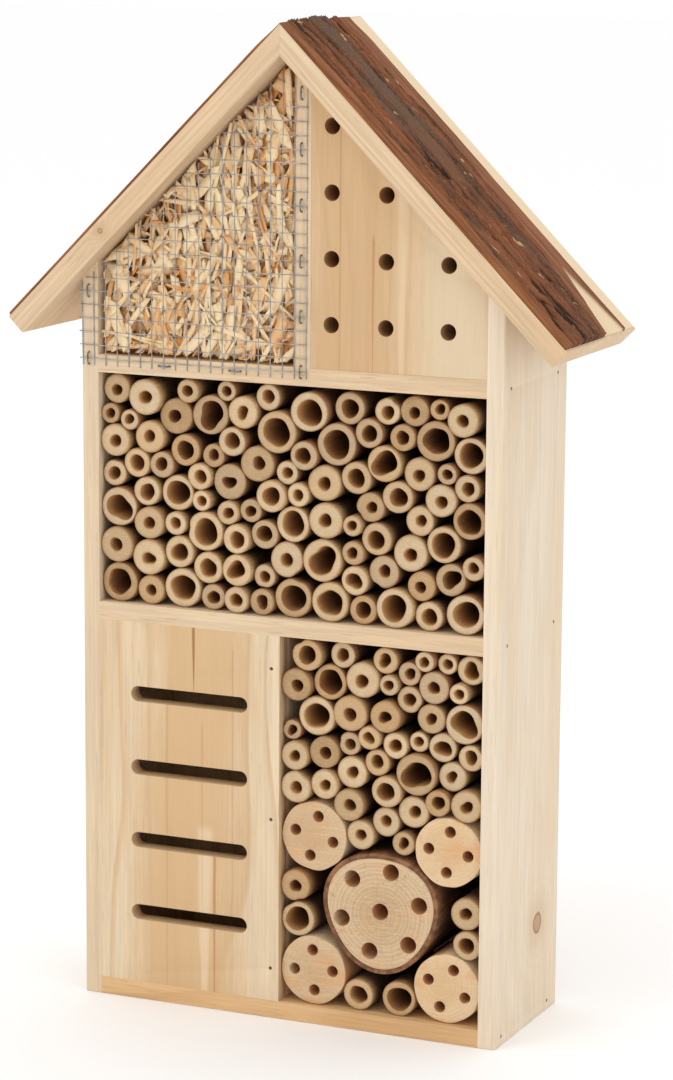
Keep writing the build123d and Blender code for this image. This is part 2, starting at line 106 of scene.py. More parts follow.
# ------------------------------------------------------------------ node helpers
def fill(tree, socket, value):
    """Links a socket to another one, or sets its own value."""
    if isinstance(value, bpy.types.NodeSocket):
        tree.links.new(value, socket)
    elif socket.type == "RGBA" and len(value) == 3:
        socket.default_value = (*value, 1.0)
    else:
        socket.default_value = value


def put(tree, kind, inputs=None, **settings):
    """Adds a node, sets its options, and fills its inputs with values or links."""
    node = tree.nodes.new(kind)
    for name, value in settings.items():
        setattr(node, name, value)
    for key, value in (inputs or {}).items():
        fill(tree, node.inputs[key], value)
    return node


def sums(tree, operation, *values):
    """The result of a Math node."""
    return put(tree, "ShaderNodeMath", dict(enumerate(values)), operation=operation).outputs[0]


def remap(tree, value, low, high, to_low=0.0, to_high=1.0):
    """A smooth change from one range to another."""
    inputs = {"Value": value, "From Min": low, "From Max": high, "To Min": to_low, "To Max": to_high}
    return put(tree, "ShaderNodeMapRange", inputs, interpolation_type="SMOOTHSTEP").outputs[0]


def blend(tree, factor, first, second, mode="MIX"):
    """Two colours mixed by a factor."""
    inputs = {0: factor, 6: first, 7: second}
    return put(tree, "ShaderNodeMix", inputs, data_type="RGBA", blend_type=mode).outputs[2]


def tinted(tree, colour, tint, mask, low, high, least=0.0, most=1.0):
    """A colour that turns towards a tint as the mask goes from low to high."""
    return blend(tree, remap(tree, mask, low, high, least, most), colour, tint)


def shaded(tree, colour, share):
    """A colour darkened to a share of itself."""
    return blend(tree, 1.0 - share, colour, (0, 0, 0))


def stretched(tree, vector, scale, offset=(0, 0, 0)):
    """Coordinates scaled by their own amount along each axis."""
    inputs = {"Vector": vector, "Scale": scale, "Location": offset}
    return put(tree, "ShaderNodeMapping", inputs).outputs[0]


def grainy(tree, vector, scale=1.0, detail=3.0, roughness=0.55):
    """The value of a noise texture."""
    inputs = {"Vector": vector, "Scale": scale, "Detail": detail, "Roughness": roughness}
    return put(tree, "ShaderNodeTexNoise", inputs).outputs["Fac"]


def from_centre(tree, first, second):
    """Distance of a point from the centre, given its two offsets."""
    squares = [sums(tree, "POWER", offset, 2.0) for offset in (first, second)]
    return sums(tree, "SQRT", sums(tree, "ADD", *squares))


def split_up(tree, vector):
    """The X, Y and Z of a vector."""
    return put(tree, "ShaderNodeSeparateXYZ", {"Vector": vector}).outputs


def read_attribute(tree, name):
    """The stored number of each point."""
    return put(tree, "ShaderNodeAttribute", attribute_name=name).outputs["Fac"]


def node_group(name, inputs, build):
    """The named node group, made once. build takes the group and its inputs and returns its outputs.

    An input with four numbers is a colour, one with three a vector, and a single number a value.
    """
    if name in bpy.data.node_groups:
        return bpy.data.node_groups[name]
    group = bpy.data.node_groups.new(name, "ShaderNodeTree")
    kinds = {4: "NodeSocketColor", 3: "NodeSocketVector"}
    for key, default in inputs.items():
        kind = kinds[len(default)] if isinstance(default, tuple) else "NodeSocketFloat"
        group.interface.new_socket(key, in_out="INPUT", socket_type=kind).default_value = default
    made = build(group, group.nodes.new("NodeGroupInput").outputs)
    for key in made:
        kind = "NodeSocketColor" if key == "Color" else "NodeSocketFloat"
        group.interface.new_socket(key, in_out="OUTPUT", socket_type=kind)
    result = group.nodes.new("NodeGroupOutput")
    for key, value in made.items():
        group.links.new(value, result.inputs[key])
    return group


def from_group(tree, group, **inputs):
    """Adds a node group with its inputs filled; an underscore in a key stands for a space."""
    named = {key.replace("_", " "): value for key, value in inputs.items()}
    return put(tree, "ShaderNodeGroup", named, node_tree=group).outputs


def new_material(name):
    """A material with its Principled shader."""
    material = bpy.data.materials.new(name)
    material.use_nodes = True
    tree = material.node_tree
    tree.nodes.clear()
    shader = put(tree, "ShaderNodeBsdfPrincipled")
    put(tree, "ShaderNodeOutputMaterial", {"Surface": shader.outputs[0]})
    return material, tree, shader


def dress(tree, shader, colour, roughness, specular, height, strength, distance):
    """Feeds the shader its colour, roughness, shine and bump."""
    fill(tree, shader.inputs["Base Color"], colour)
    fill(tree, shader.inputs["Roughness"], roughness)
    shader.inputs["Specular IOR Level"].default_value = specular
    inputs = {"Height": height, "Strength": strength, "Distance": distance}
    tree.links.new(put(tree, "ShaderNodeBump", inputs).outputs[0], shader.inputs["Normal"])


def object_place(tree):
    """Coordinates in the model's own frame."""
    return put(tree, "ShaderNodeTexCoord").outputs["Object"]


def deep_shade(tree, place, colour, shadow, near, far, most):
    """A colour that turns to its shadow from near to far behind the house's front."""
    inward = split_up(tree, place)["Y"]
    return tinted(tree, colour, shadow, inward, FRONT_Y + near, FRONT_Y + far, 0.0, most)


def drilled_wall(tree):
    """1 on the walls of holes drilled from the front, 0 on faces that look forward or back; it marks where
    painted shade goes.
    """
    facing = split_up(tree, put(tree, "ShaderNodeNewGeometry").outputs["True Normal"])["Y"]
    return remap(tree, sums(tree, "ABSOLUTE", facing), 0.35, 0.6, 1.0, 0.0)


def turned(tree, vector, angles):
    """Coordinates turned about the origin."""
    return put(tree, "ShaderNodeMapping", {"Vector": vector, "Rotation": angles}).outputs[0]


def along(tree, axis):
    """Object coordinates turned so that the wood's grain runs along X."""
    turns = {
        "x": (0, 0, 0),
        "z": (0, math.pi / 2, 0),
        "right slope": (0, -ROOF_PITCH, 0),
        "left slope": (0, ROOF_PITCH, 0),
    }
    return turned(tree, object_place(tree), turns[axis])


# ------------------------------------------------------------------- wood groups
def ring_wood(tree, given):
    """Growth rings round a pith that runs along X, with fibres along X."""
    place = given["Vector"]
    moved = put(tree, "ShaderNodeVectorMath", {0: place, 1: given["Seed"]}, operation="ADD").outputs[0]
    drift_y = grainy(tree, stretched(tree, moved, (2.2, 11.0, 11.0)), 1.0, 2.0)
    drift_z = grainy(tree, stretched(tree, moved, (2.6, 9.0, 9.0), (5.2, 1.3, 7.7)), 1.0, 2.0)
    parts = split_up(tree, place)
    offsets = []
    for axis, drift in (("Y", drift_y), ("Z", drift_z)):
        offset = sums(tree, "SUBTRACT", parts[axis], given["Pith " + axis])
        drift = sums(tree, "SUBTRACT", drift, 0.5)
        offsets.append(sums(tree, "MULTIPLY_ADD", drift, given["Wobble"], offset))
    radius = sums(tree, "ADD", from_centre(tree, *offsets), given["Bend"])
    count = sums(tree, "DIVIDE", radius, given["Ring Width"])
    uneven = grainy(tree, put(tree, "ShaderNodeCombineXYZ", {"X": count}).outputs[0], 0.45, 1.0)
    step = sums(tree, "FRACT", sums(tree, "MULTIPLY_ADD", uneven, 2.2, count))
    rise = remap(tree, step, given["Late From"], 0.9)
    fleck = grainy(tree, stretched(tree, moved, (60.0, 900.0, 900.0)), 1.0, 1.0)
    return {
        "Late": sums(tree, "MULTIPLY", rise, remap(tree, step, 0.9, 1.0, 1.0, 0.0)),
        "Fibre": grainy(tree, stretched(tree, moved, (22.0, 620.0, 620.0)), 1.0, 4.0, 0.6),
        "Cloud": grainy(tree, stretched(tree, moved, (3.0, 26.0, 26.0)), 1.0, 3.0),
        "Fleck": remap(tree, fleck, 0.66, 0.74),
    }


RING_INPUTS = {
    "Vector": NOWHERE,
    "Seed": NOWHERE,
    "Pith Y": 0.05,
    "Pith Z": 0.0,
    "Ring Width": 0.004,
    "Wobble": 0.006,
    "Bend": 0.0,
    "Late From": 0.25,
}


def ring_wood_group():
    """The growth rings' node group."""
    return node_group("Ring wood", RING_INPUTS, ring_wood)


def knot(tree, given):
    """A round knot: its core, the dark line round it, the warm halo and the bend of the grain."""
    ends = {0: given["Vector"], 1: given["Centre"]}
    apart = put(tree, "ShaderNodeVectorMath", ends, operation="SUBTRACT").outputs[0]
    squeezed = stretched(tree, apart, (1.05, 1.0, 1.0))
    wander = grainy(tree, given["Vector"], 220.0, 2.0)
    distance = put(tree, "ShaderNodeVectorMath", {0: squeezed}, operation="LENGTH").outputs["Value"]
    share = sums(tree, "DIVIDE", sums(tree, "MULTIPLY_ADD", wander, 0.0012, distance), given["Size"])
    outside = remap(tree, share, 0.54, 0.68, 1.0, 0.0)
    line = sums(tree, "MULTIPLY", remap(tree, share, 0.42, 0.54), outside)
    rings = sums(tree, "MULTIPLY_ADD", sums(tree, "SINE", sums(tree, "MULTIPLY", share, 34.0)), 0.5, 0.5)
    core = remap(tree, share, 0.5, 0.64, 1.0, 0.0)
    rings = sums(tree, "MULTIPLY", sums(tree, "MULTIPLY", rings, core), 0.35)
    return {
        "Core": core,
        "Line": sums(tree, "MAXIMUM", line, rings),
        "Halo": remap(tree, share, 0.6, 2.2, 1.0, 0.0),
        "Bend": sums(tree, "MULTIPLY", remap(tree, share, 0.2, 3.2, 1.6, 0.0), given["Size"]),
    }


def stripe(tree, given):
    """A soft-edged stripe along the grain that thins towards its low end."""
    vector = given["Vector"]
    parts = split_up(tree, vector)
    half = given["Half Width"]
    sway = sums(tree, "SUBTRACT", grainy(tree, stretched(tree, vector, (9.0, 3.0, 3.0)), 1.0, 2.0), 0.5)
    place = sums(tree, "MULTIPLY_ADD", sway, sums(tree, "MULTIPLY", half, 0.9), parts["Z"])
    gap = sums(tree, "ABSOLUTE", sums(tree, "SUBTRACT", place, given["Across"]))
    ragged = grainy(tree, stretched(tree, vector, (60.0, 400.0, 400.0)), 1.0, 3.0)
    width = remap(tree, parts["X"], given["Low"], given["High"], 0.4, 1.0)
    width = sums(tree, "MULTIPLY", sums(tree, "MULTIPLY_ADD", ragged, 0.7, 0.65), width)
    share = sums(tree, "DIVIDE", gap, sums(tree, "MULTIPLY", width, half))
    mask = remap(tree, share, 0.3, 1.0, given["Strength"], 0.0)
    for end, soft in (("Low", 0.010), ("High", -0.003)):
        near = sums(tree, "SUBTRACT", given[end], soft)
        far = sums(tree, "ADD", given[end], soft)
        mask = sums(tree, "MULTIPLY", mask, remap(tree, parts["X"], near, far))
    return {"Mask": mask}


def softwood(tree, given):
    """Planed softwood: pale early wood, warmer late wood, fine fibres and a few dark flecks."""
    passed_on = {key.replace(" ", "_"): given[key] for key in RING_INPUTS}
    wood = from_group(tree, ring_wood_group(), **passed_on)
    early, late = given["Early Wood"], given["Late Wood"]
    colour = blend(tree, sums(tree, "MULTIPLY", wood["Late"], given["Contrast"]), early, late)
    colour = tinted(tree, colour, late, wood["Cloud"], 0.35, 0.7, 0.0, 0.45)
    dark = sums(tree, "SUBTRACT", 1.0, given["Fibre Depth"])
    fibre = remap(tree, wood["Fibre"], 0.3, 0.72, dark, 1.05)
    fibre = put(tree, "ShaderNodeCombineColor", {0: fibre, 1: fibre, 2: fibre}).outputs[0]
    colour = blend(tree, 1.0, colour, fibre, "MULTIPLY")
    streak = sums(tree, "MULTIPLY", wood["Fleck"], sums(tree, "MULTIPLY", given["Fibre Depth"], 2.2))
    return {
        "Color": blend(tree, streak, colour, shaded(tree, late, 0.45)),
        "Roughness": remap(tree, wood["Late"], 0.0, 1.0, 0.68, 0.56),
        "Height": sums(tree, "MULTIPLY_ADD", wood["Fibre"], 0.7, wood["Late"]),
    }


SOFTWOOD_INPUTS = {
    **RING_INPUTS,
    "Contrast": 0.5,
    "Fibre Depth": 0.12,
    "Early Wood": WHITE,
    "Late Wood": BLACK,
}
STRIPE_INPUTS = {
    "Vector": NOWHERE,
    "Across": 0.0,
    "Half Width": 0.001,
    "Low": -1.0,
    "High": 1.0,
    "Strength": 0.5,
}
KNOT_INPUTS = {"Vector": NOWHERE, "Centre": NOWHERE, "Size": 0.006}
# Each part of a knot, with its strength and colour; None is a darker late wood.
KNOT_PARTS = (
    ("Halo", 0.45, None),
    ("Core", 0.8, (0.50, 0.29, 0.14)),
    ("Line", 0.75, (0.27, 0.125, 0.055)),
)


def pine(name, axis, early, late, pith, seed, ring=0.0042, wobble=0.02, contrast=0.5, late_from=0.25,
         fibre=0.12, knots=(), stripes=(), drilled=None):
    """A board's own softwood. Pith is (y, z) in the grain's own directions.

    Each knot is (centre, size). Each stripe is (across, half width, low, high, strength, colour). Drilled is
    the painted shade colour for the walls of drilled holes and slots.
    """
    material, tree, shader = new_material(name)
    vector = along(tree, axis)
    bend = 0.0
    found = []
    for centre, size in knots:
        group = node_group("Knot", KNOT_INPUTS, knot)
        found.append(from_group(tree, group, Vector=vector, Centre=centre, Size=size))
        bend = sums(tree, "ADD", bend, found[-1]["Bend"])
    wood = from_group(
        tree, node_group("Softwood", SOFTWOOD_INPUTS, softwood),
        Vector=vector, Seed=seed, Pith_Y=pith[0], Pith_Z=pith[1], Ring_Width=ring, Wobble=wobble, Bend=bend,
        Late_From=late_from, Contrast=contrast, Fibre_Depth=fibre, Early_Wood=early, Late_Wood=late,
    )
    colour = wood["Color"]
    for across, half_width, low, high, strength, tint in stripes:
        mask = from_group(
            tree, node_group("Stripe", STRIPE_INPUTS, stripe),
            Vector=vector, Across=across, Half_Width=half_width, Low=low, High=high, Strength=strength,
        )["Mask"]
        colour = blend(tree, mask, colour, tint)
    halo = tuple(0.8 * c for c in late)
    for masks in found:
        for part, strength, tint in KNOT_PARTS:
            mask = sums(tree, "MULTIPLY", masks[part], strength)
            colour = blend(tree, mask, colour, tint or halo)
    # Painted shade: the walls of drilled holes and slots turn to the drilled colour.
    if drilled:
        wall = sums(tree, "MULTIPLY", drilled_wall(tree), 0.85)
        colour = blend(tree, wall, colour, drilled)
    dress(tree, shader, colour, wood["Roughness"], 0.35, wood["Height"], 0.35, 0.00025)
    return material


# ------------------------------------------------------------------ mesh helpers
def new_piece(name, mesh, nodes, materials):
    """Links a mesh as a piece that stands for CAD nodes."""
    piece = bpy.data.objects.new(name, mesh)
    bpy.context.scene.collection.objects.link(piece)
    for material in materials:
        piece.data.materials.append(material)
    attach(piece, "root")
    if nodes:
        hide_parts(*nodes)
    return piece


def mesh_from(name, vertices, faces, material_of=None):
    """A smooth-shaded mesh from points and faces, with every face turned outward."""
    mesh = bpy.data.meshes.new(name)
    mesh.from_pydata([tuple(v) for v in vertices], [], faces)
    if material_of is not None:
        mesh.polygons.foreach_set("material_index", material_of)
    mesh.polygons.foreach_set("use_smooth", [True] * len(mesh.polygons))
    solid = bmesh.new()
    solid.from_mesh(mesh)
    bmesh.ops.recalc_face_normals(solid, faces=solid.faces)
    solid.to_mesh(mesh)
    solid.free()
    return mesh


def float_attribute(mesh, name, values):
    """Stores a number for each point, for the materials to read."""
    attribute = mesh.attributes.new(name, "FLOAT", "POINT")
    attribute.data.foreach_set("value", np.asarray(values, np.float32))


def eased_mesh(node, width, name):
    """A copy of a CAD node's mesh with its hard edges rounded over."""
    solid = bmesh.new()
    solid.from_mesh(NODES[node].data)
    bmesh.ops.remove_doubles(solid, verts=solid.verts, dist=SAME_POINT)
    bmesh.ops.dissolve_limit(
        solid, angle_limit=FLAT_ENOUGH, verts=solid.verts, edges=solid.edges, delimit={"NORMAL"}
    )
    hard = [e for e in solid.edges if len(e.link_faces) == 2 and e.calc_face_angle(0) > HARD_EDGE]
    bmesh.ops.bevel(
        solid, geom=hard, offset=width, segments=2, profile=0.5, affect="EDGES", clamp_overlap=True
    )
    bmesh.ops.recalc_face_normals(solid, faces=solid.faces)
    mesh = bpy.data.meshes.new(name)
    solid.to_mesh(mesh)
    solid.free()
    mesh.polygons.foreach_set("use_smooth", [True] * len(mesh.polygons))
    return mesh


def islands(node):
    """The separate solids of a CAD node, each an array of its points."""
    solid = bmesh.new()
    solid.from_mesh(NODES[node].data)
    bmesh.ops.remove_doubles(solid, verts=solid.verts, dist=SAME_POINT)
    seen = set()
    groups = []
    for start in solid.verts:
        if start.index in seen:
            continue
        stack = [start]
        seen.add(start.index)
        members = []
        while stack:
            vertex = stack.pop()
            members.append(tuple(vertex.co))
            for edge in vertex.link_edges:
                other = edge.other_vert(vertex)
                if other.index not in seen:
                    seen.add(other.index)
                    stack.append(other)
        groups.append(np.array(members))
    solid.free()
    return groups


def grid_quads(rows, columns, start=0):
    """Faces of a grid of points, row by row."""
    width = columns + 1
    corners = [start + row * width + column for row in range(rows) for column in range(columns)]
    return [(a, a + 1, a + width + 1, a + width) for a in corners]


def turned_over(quads):
    """The same faces seen from their other side."""
    return [(a, d, c, b) for a, b, c, d in quads]


def grid_rim(rows, columns):
    """The grid's outer points, once round."""
    rim = [(0, c) for c in range(columns)] + [(r, columns) for r in range(rows)]
    rim += [(rows, c) for c in range(columns, 0, -1)] + [(r, 0) for r in range(rows, 0, -1)]
    return [row * (columns + 1) + column for row, column in rim]


def tube_faces(rings, count, start=0):
    """Faces of a tube: those between its rings of points, then its two ends."""
    faces = []
    for ring in range(rings - 1):
        for k in range(count):
            a = start + ring * count + k
            b = start + ring * count + (k + 1) % count
            faces.append((a, b, b + count, a + count))
    last = start + (rings - 1) * count
    faces.append(tuple(start + k for k in reversed(range(count))))
    faces.append(tuple(last + k for k in range(count)))
    return faces


# ----------------------------------------------------------------------- boards
class BoardSettings(bpy.types.PropertyGroup):
    """Sizes and colours of the sawn boards."""

    edge_round: FloatProperty(
        name="Edge round",
        description="Radius of the boards' handled edges",
        default=0.0005,
        unit="LENGTH",
    )
    pale: FloatVectorProperty(
        name="Pale wood",
        description="Early wood of the shelves, divider and roof boards",
        default=(0.73, 0.565, 0.38),
        subtype="COLOR",
    )
    warm: FloatVectorProperty(
        name="Warm wood",
        description="Late wood of the shelves and divider",
        default=(0.62, 0.385, 0.19),
        subtype="COLOR",
    )


def board_materials(settings):
    """A finish for each board, by its node."""
    pale = tuple(settings.pale)
    warm = tuple(settings.warm)
    white = (0.765, 0.65, 0.505)
    cream = (0.73, 0.58, 0.395)
    tan = (0.675, 0.485, 0.295)
    orange = (0.62, 0.39, 0.20)
    crack = (0.34, 0.145, 0.052)
    line = (0.46, 0.22, 0.09)
    # Painted shade for the walls of the drilled block's holes.
    hole_shade = (0.27, 0.125, 0.045)
    return {
        "right_side_panel": pine(
            "Side board right", "z", white, (0.71, 0.53, 0.33), (0.02, 0.09), (1, 2, 3), 0.0048, 0.05, 0.3,
            fibre=0.06, knots=[((0.050, 0.014, -0.114), 0.0105)],
        ),
        "left_side_panel": pine(
            "Side board left", "z", (0.68, 0.52, 0.345), cream, (-0.03, -0.06), (4, 1, 3), 0.0045, 0.04,
            fibre=0.09,
        ),
        "base_board": pine(
            "Base board", "x", (0.69, 0.445, 0.225), (0.58, 0.33, 0.14), (0.06, -0.03), (7, 2, 5), 0.004, 0.04
        ),
        "lower_shelf": pine("Lower shelf", "x", pale, warm, (0.05, 0.16), (3, 8, 1), 0.0038, 0.04, 0.25),
        "attic_shelf": pine("Attic shelf", "x", pale, warm, (-0.02, 0.40), (9, 4, 2), 0.0036, 0.03, 0.3),
        "butterfly_front": pine(
            "Slotted front", "z", cream, (0.565, 0.35, 0.165), (-0.16, 0.051), (2, 7, 6), 0.0052, 0.03, 0.55,
            # The slot walls get a tan painted shade.
            late_from=0.62, fibre=0.08, drilled=(0.58, 0.39, 0.21),
            stripes=[
                (0.058, 0.052, -1.0, 1.0, 0.8, (0.615, 0.395, 0.20)),
                (0.052, 0.0013, 0.166, 0.200, 0.9, crack),
                (0.0400, 0.0011, -0.01, 0.082, 0.85, line),
                (0.0458, 0.0060, -0.01, 0.095, 0.6, (0.76, 0.61, 0.41)),
                (0.047, 0.0009, 0.05, 0.15, 0.35, line),
                (0.030, 0.0008, 0.02, 0.19, 0.4, line),
                (0.067, 0.0008, -0.05, 0.16, 0.35, line),
            ],
        ),
        "lower_divider": pine("Divider", "z", pale, warm, (-0.02, 0.03), (5, 3, 8), 0.004, 0.03, 0.3),
        "attic_post": pine("Attic post", "z", pale, warm, (0.08, 0.03), (6, 6, 1), 0.0034, 0.02, 0.3),
        "drilled_block": pine(
            "Drilled block", "z", tan, (0.56, 0.345, 0.17), (-0.15, -0.09), (8, 5, 4), 0.0060, 0.05, 0.4,
            # The block's hole walls get the dark painted shade.
            late_from=0.55, fibre=0.08, drilled=hole_shade,
            stripes=[
                (-0.033, 0.043, -1.0, 1.0, 0.6, (0.55, 0.335, 0.16)),
                (-0.088, 0.036, -1.0, 1.0, 0.75, (0.69, 0.555, 0.375)),
                (-0.045, 0.0011, 0.33, 0.40, 0.65, line),
                (-0.0275, 0.0009, 0.30, 0.47, 0.5, line),
                (-0.060, 0.0045, 0.30, 0.45, 0.4, (0.74, 0.58, 0.38)),
            ],
        ),
        "back_panel": pine(
            "Plywood back", "z", (0.66, 0.46, 0.26), (0.47, 0.27, 0.12), (0.6, 0.02), (2, 9, 9), 0.012, 0.16
        ),
        "left_roof_board": pine(
            "Left roof board", "left slope", pale, orange, (0.02, 0.25), (1, 5, 9), 0.0028, 0.02, 0.4,
            knots=[((0.212, -0.0545, 0.350), 0.0034)],
        ),
        "right_roof_board": pine(
            "Right roof board", "right slope", pale, orange, (0.03, 0.24), (3, 3, 7), 0.0028, 0.02, 0.45
        ),
    }


class HOTEL_OT_boards(bpy.types.Operator):
    """Rounds the edges of the boards and gives each its own grain"""

    bl_idname = "hotel.boards"
    bl_label = "Boards"

    def execute(self, context):
        settings = context.scene.hotel_boards
        materials = board_materials(settings)
        need(*materials)
        for node, material in materials.items():
            mesh = eased_mesh(node, settings.edge_round, node + "_wood")
            new_piece(node + "_wood", mesh, [node], [material])
        return {"FINISHED"}


# -------------------------------------------------------------------- roof bark
class BarkSettings(bpy.types.PropertyGroup):
    """Relief of the bark left on the roof boards."""

    thickness: FloatProperty(
        name="Bark thickness",
        description="Height of the highest plates above the board",
        default=0.0046,
        unit="LENGTH",
    )
    cell: FloatProperty(
        name="Cell", description="Spacing of the relief's points", default=0.00062, unit="LENGTH"
    )


# The bark's zones from front to back: the smooth band in mm, then shares of the depth.
FRONT_BAND = 9.0
ROUGH_UP_TO = 0.70
BARE_FROM = 0.86
# A wedge of bare wood widens over the last part of the right slope.
WEDGE_FROM = 0.80
# Two long seams in the bark, as shares of the depth, and half the width of the flat plate in mm.
PLATE_AT = 0.42
PLATE_HALF = 9.6
SEAM_AT = 0.24
TERRACES = 4.0
LEAST_BARK = 0.12
THIN_NEAR_RIDGE = 20.0
# The bark stops short of the eave, with a ragged edge, and its rows are wider than its columns.
EAVE_INSET = 1.2
EAVE_RAGGED = 0.9
ROW_STRETCH = 1.35


def wrinkle(*place):
    """Smooth noise at a place."""
    return noise.noise(Vector(place))


def between(low, high, soft, value):
    """1 between low and high, 0 outside, with soft edges."""
    return smooth(low - soft, low + soft, value) * (1 - smooth(high - soft, high + soft, value))


def bark_profile(side, u, v, length, depth):
    """The bark's height, roughness, bareness, cracks and plates.

    The point is u down the slope and v from the front, in mm.
    """
    seed = 11.0 if side > 0 else 47.0
    # How far the point is in the rough zone and on bare wood.
    drift = wrinkle(u / 70.0, seed, 0.0) * 3.0
    drift_back = wrinkle(u / 55.0, seed + 9, 0.0) * 3.5
    band_edge = FRONT_BAND + drift + wrinkle(u / 9.0, seed, 3.0) * 0.8
    rough_edge = depth * ROUGH_UP_TO + drift_back + wrinkle(u / 12.0, seed, 8.0) * 1.6
    if side > 0:
        rough_edge -= smooth(length * 0.55, length, u) * depth * 0.17
    bare_edge = depth * BARE_FROM + drift_back * 0.4
    rough = smooth(band_edge - 0.7, band_edge + 0.7, v)
    rough *= 1 - smooth(rough_edge - 1.0, rough_edge + 1.0, v)
    bare = smooth(bare_edge - 0.35, bare_edge + 0.35, v)
    if side > 0:
        reach = (u - length * WEDGE_FROM) / (length * (1 - WEDGE_FROM))
        if reach > 0:
            wedge = between(depth * (0.735 - 0.18 * reach), depth * (0.745 + 0.085 * reach), 0.3, v)
            bare = max(bare, wedge)
            rough *= 1 - wedge
    crown = 1.3 + 1.3 * math.sin(math.pi * min(v / (depth * BARE_FROM), 1.0)) ** 0.7
    streak = wrinkle(u / 30.0, v / 2.2, seed + 1) * 0.12
    # Cracks run down the slope and jog sideways; plates of bark stand between them.
    jog = wrinkle(u / 9.0, v / 20.0, seed + 3) * 1.1 + wrinkle(u / 2.6, v / 9.0, seed) * 0.35
    long_crack = wrinkle(u / 95.0, (v + jog) / 6.5, seed + 2)
    reach = 0.045 + 0.10 * smooth(-0.2, 0.5, wrinkle(u / 26.0, v / 11.0, seed + 12))
    fissure = 1 - smooth(0.0, reach, abs(long_crack))
    short_crack = wrinkle(u / 24.0, (v + jog) / 3.2, seed + 4)
    fissure = max(fissure, 0.55 * (1 - smooth(0.0, 0.09, abs(short_crack))))
    plate = wrinkle(u / 60.0, (v + jog) / 11.0, seed + 5)
    plate += 0.35 * wrinkle(u / 15.0, (v + jog) / 4.5, seed + 6)
    if side > 0:
        flat = math.exp(-(((v - depth * PLATE_AT) / 9.0) ** 2))
        flat *= 1 - smooth(length * 0.48, length * 0.62, u)
        plate = plate * (1 - 0.8 * flat) + 0.5 * flat
        fissure *= 1 - 0.9 * smooth(0.45, 0.75, flat)
        seam = abs(abs(v - depth * PLATE_AT - 1.4 * jog) - PLATE_HALF)
        seam = (1 - smooth(0.15, 1.1, seam)) * (1 - smooth(length * 0.6, length * 0.72, u))
        fissure = max(fissure, seam * smooth(-0.35, 0.05, wrinkle(u / 17.0, seed, v / 30.0)))
    seam = abs(v - depth * SEAM_AT - 1.3 * jog)
    seam = (1 - smooth(0.2, 1.2, seam)) * smooth(length * 0.3, length * 0.42, u)
    fissure = max(fissure, seam * smooth(-0.3, 0.05, wrinkle(u / 13.0, seed + 3, 1.0)))
    steps = math.floor(plate * TERRACES)
    terrace = (steps + smooth(0.85, 1.0, plate * TERRACES - steps)) / TERRACES
    crumbs = noise.turbulence(Vector((u / 4.2, v / 1.7, seed + 7)), 3, False) - 0.5
    # The bark thins out towards the ridge.
    past_ridge = smooth(0.0, THIN_NEAR_RIDGE, u)
    height = crown * (0.25 + 0.75 * past_ridge) + streak
    relief = 0.85 + 1.3 * terrace - 1.9 * fissure + 0.30 * crumbs * past_ridge
    height += rough * relief * (0.8 + 0.2 * past_ridge)
    height = height * (1 - bare) + bare * (0.25 + 0.5 * (crown - 1.25) * 0.35)
    return max(height, LEAST_BARK), rough, bare, fissure * rough, plate


def bark_mesh(side, settings):
    """The bark's relief as a closed slab on the roof board."""
    low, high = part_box("right_bark")
    length = (ROOF_HIGH.x / math.cos(ROOF_PITCH)) / MM - EAVE_INSET
    depth = (high.y - low.y) / MM
    front = low.y / MM
    rows = int(length / (settings.cell / MM) / ROW_STRETCH)
    columns = int(depth / (settings.cell / MM))
    tallest = settings.thickness / MM
    points = []
    facts = {"rough": [], "bare": [], "fissure": [], "plate": [], "down": []}
    ridge = ROOF_HIGH.z / MM
    cosine, sine = math.cos(ROOF_PITCH), math.sin(ROOF_PITCH)

    def place(u, v, n):
        return (
            side * (u * cosine + n * sine) * MM,
            (front + v) * MM,
            (ridge - u * sine + n * cosine) * MM,
        )

    for row in range(rows + 1):
        share = row / rows
        for column in range(columns + 1):
            v = depth * column / columns
            height, *others = bark_profile(side, length * share, v, length, depth)
            height = min(height, tallest)
            u = -height + share * (length + height)
            if row == rows:
                u -= EAVE_RAGGED * (0.5 + 0.5 * wrinkle(v / 3.0, 2.0, 5.0))
            points.append(place(u, v, height))
            for key, value in zip(facts, (*others, share)):
                facts[key].append(value)
    rim = grid_rim(rows, columns)
    below = {}
    for index in sorted(rim):
        row, column = divmod(index, columns + 1)
        below[index] = len(points)
        points.append(place(row / rows * length, depth * column / columns, 0.0))
    faces = turned_over(grid_quads(rows, columns))
    for first, second in zip(rim, rim[1:] + rim[:1]):
        faces.append((second, first, below[first], below[second]))
    faces.append(tuple(below[index] for index in rim))
    mesh = mesh_from(f"bark_{side}", points, faces)
    for key, values in facts.items():
        float_attribute(mesh, key, values + [values[index] for index in below])
    return mesh


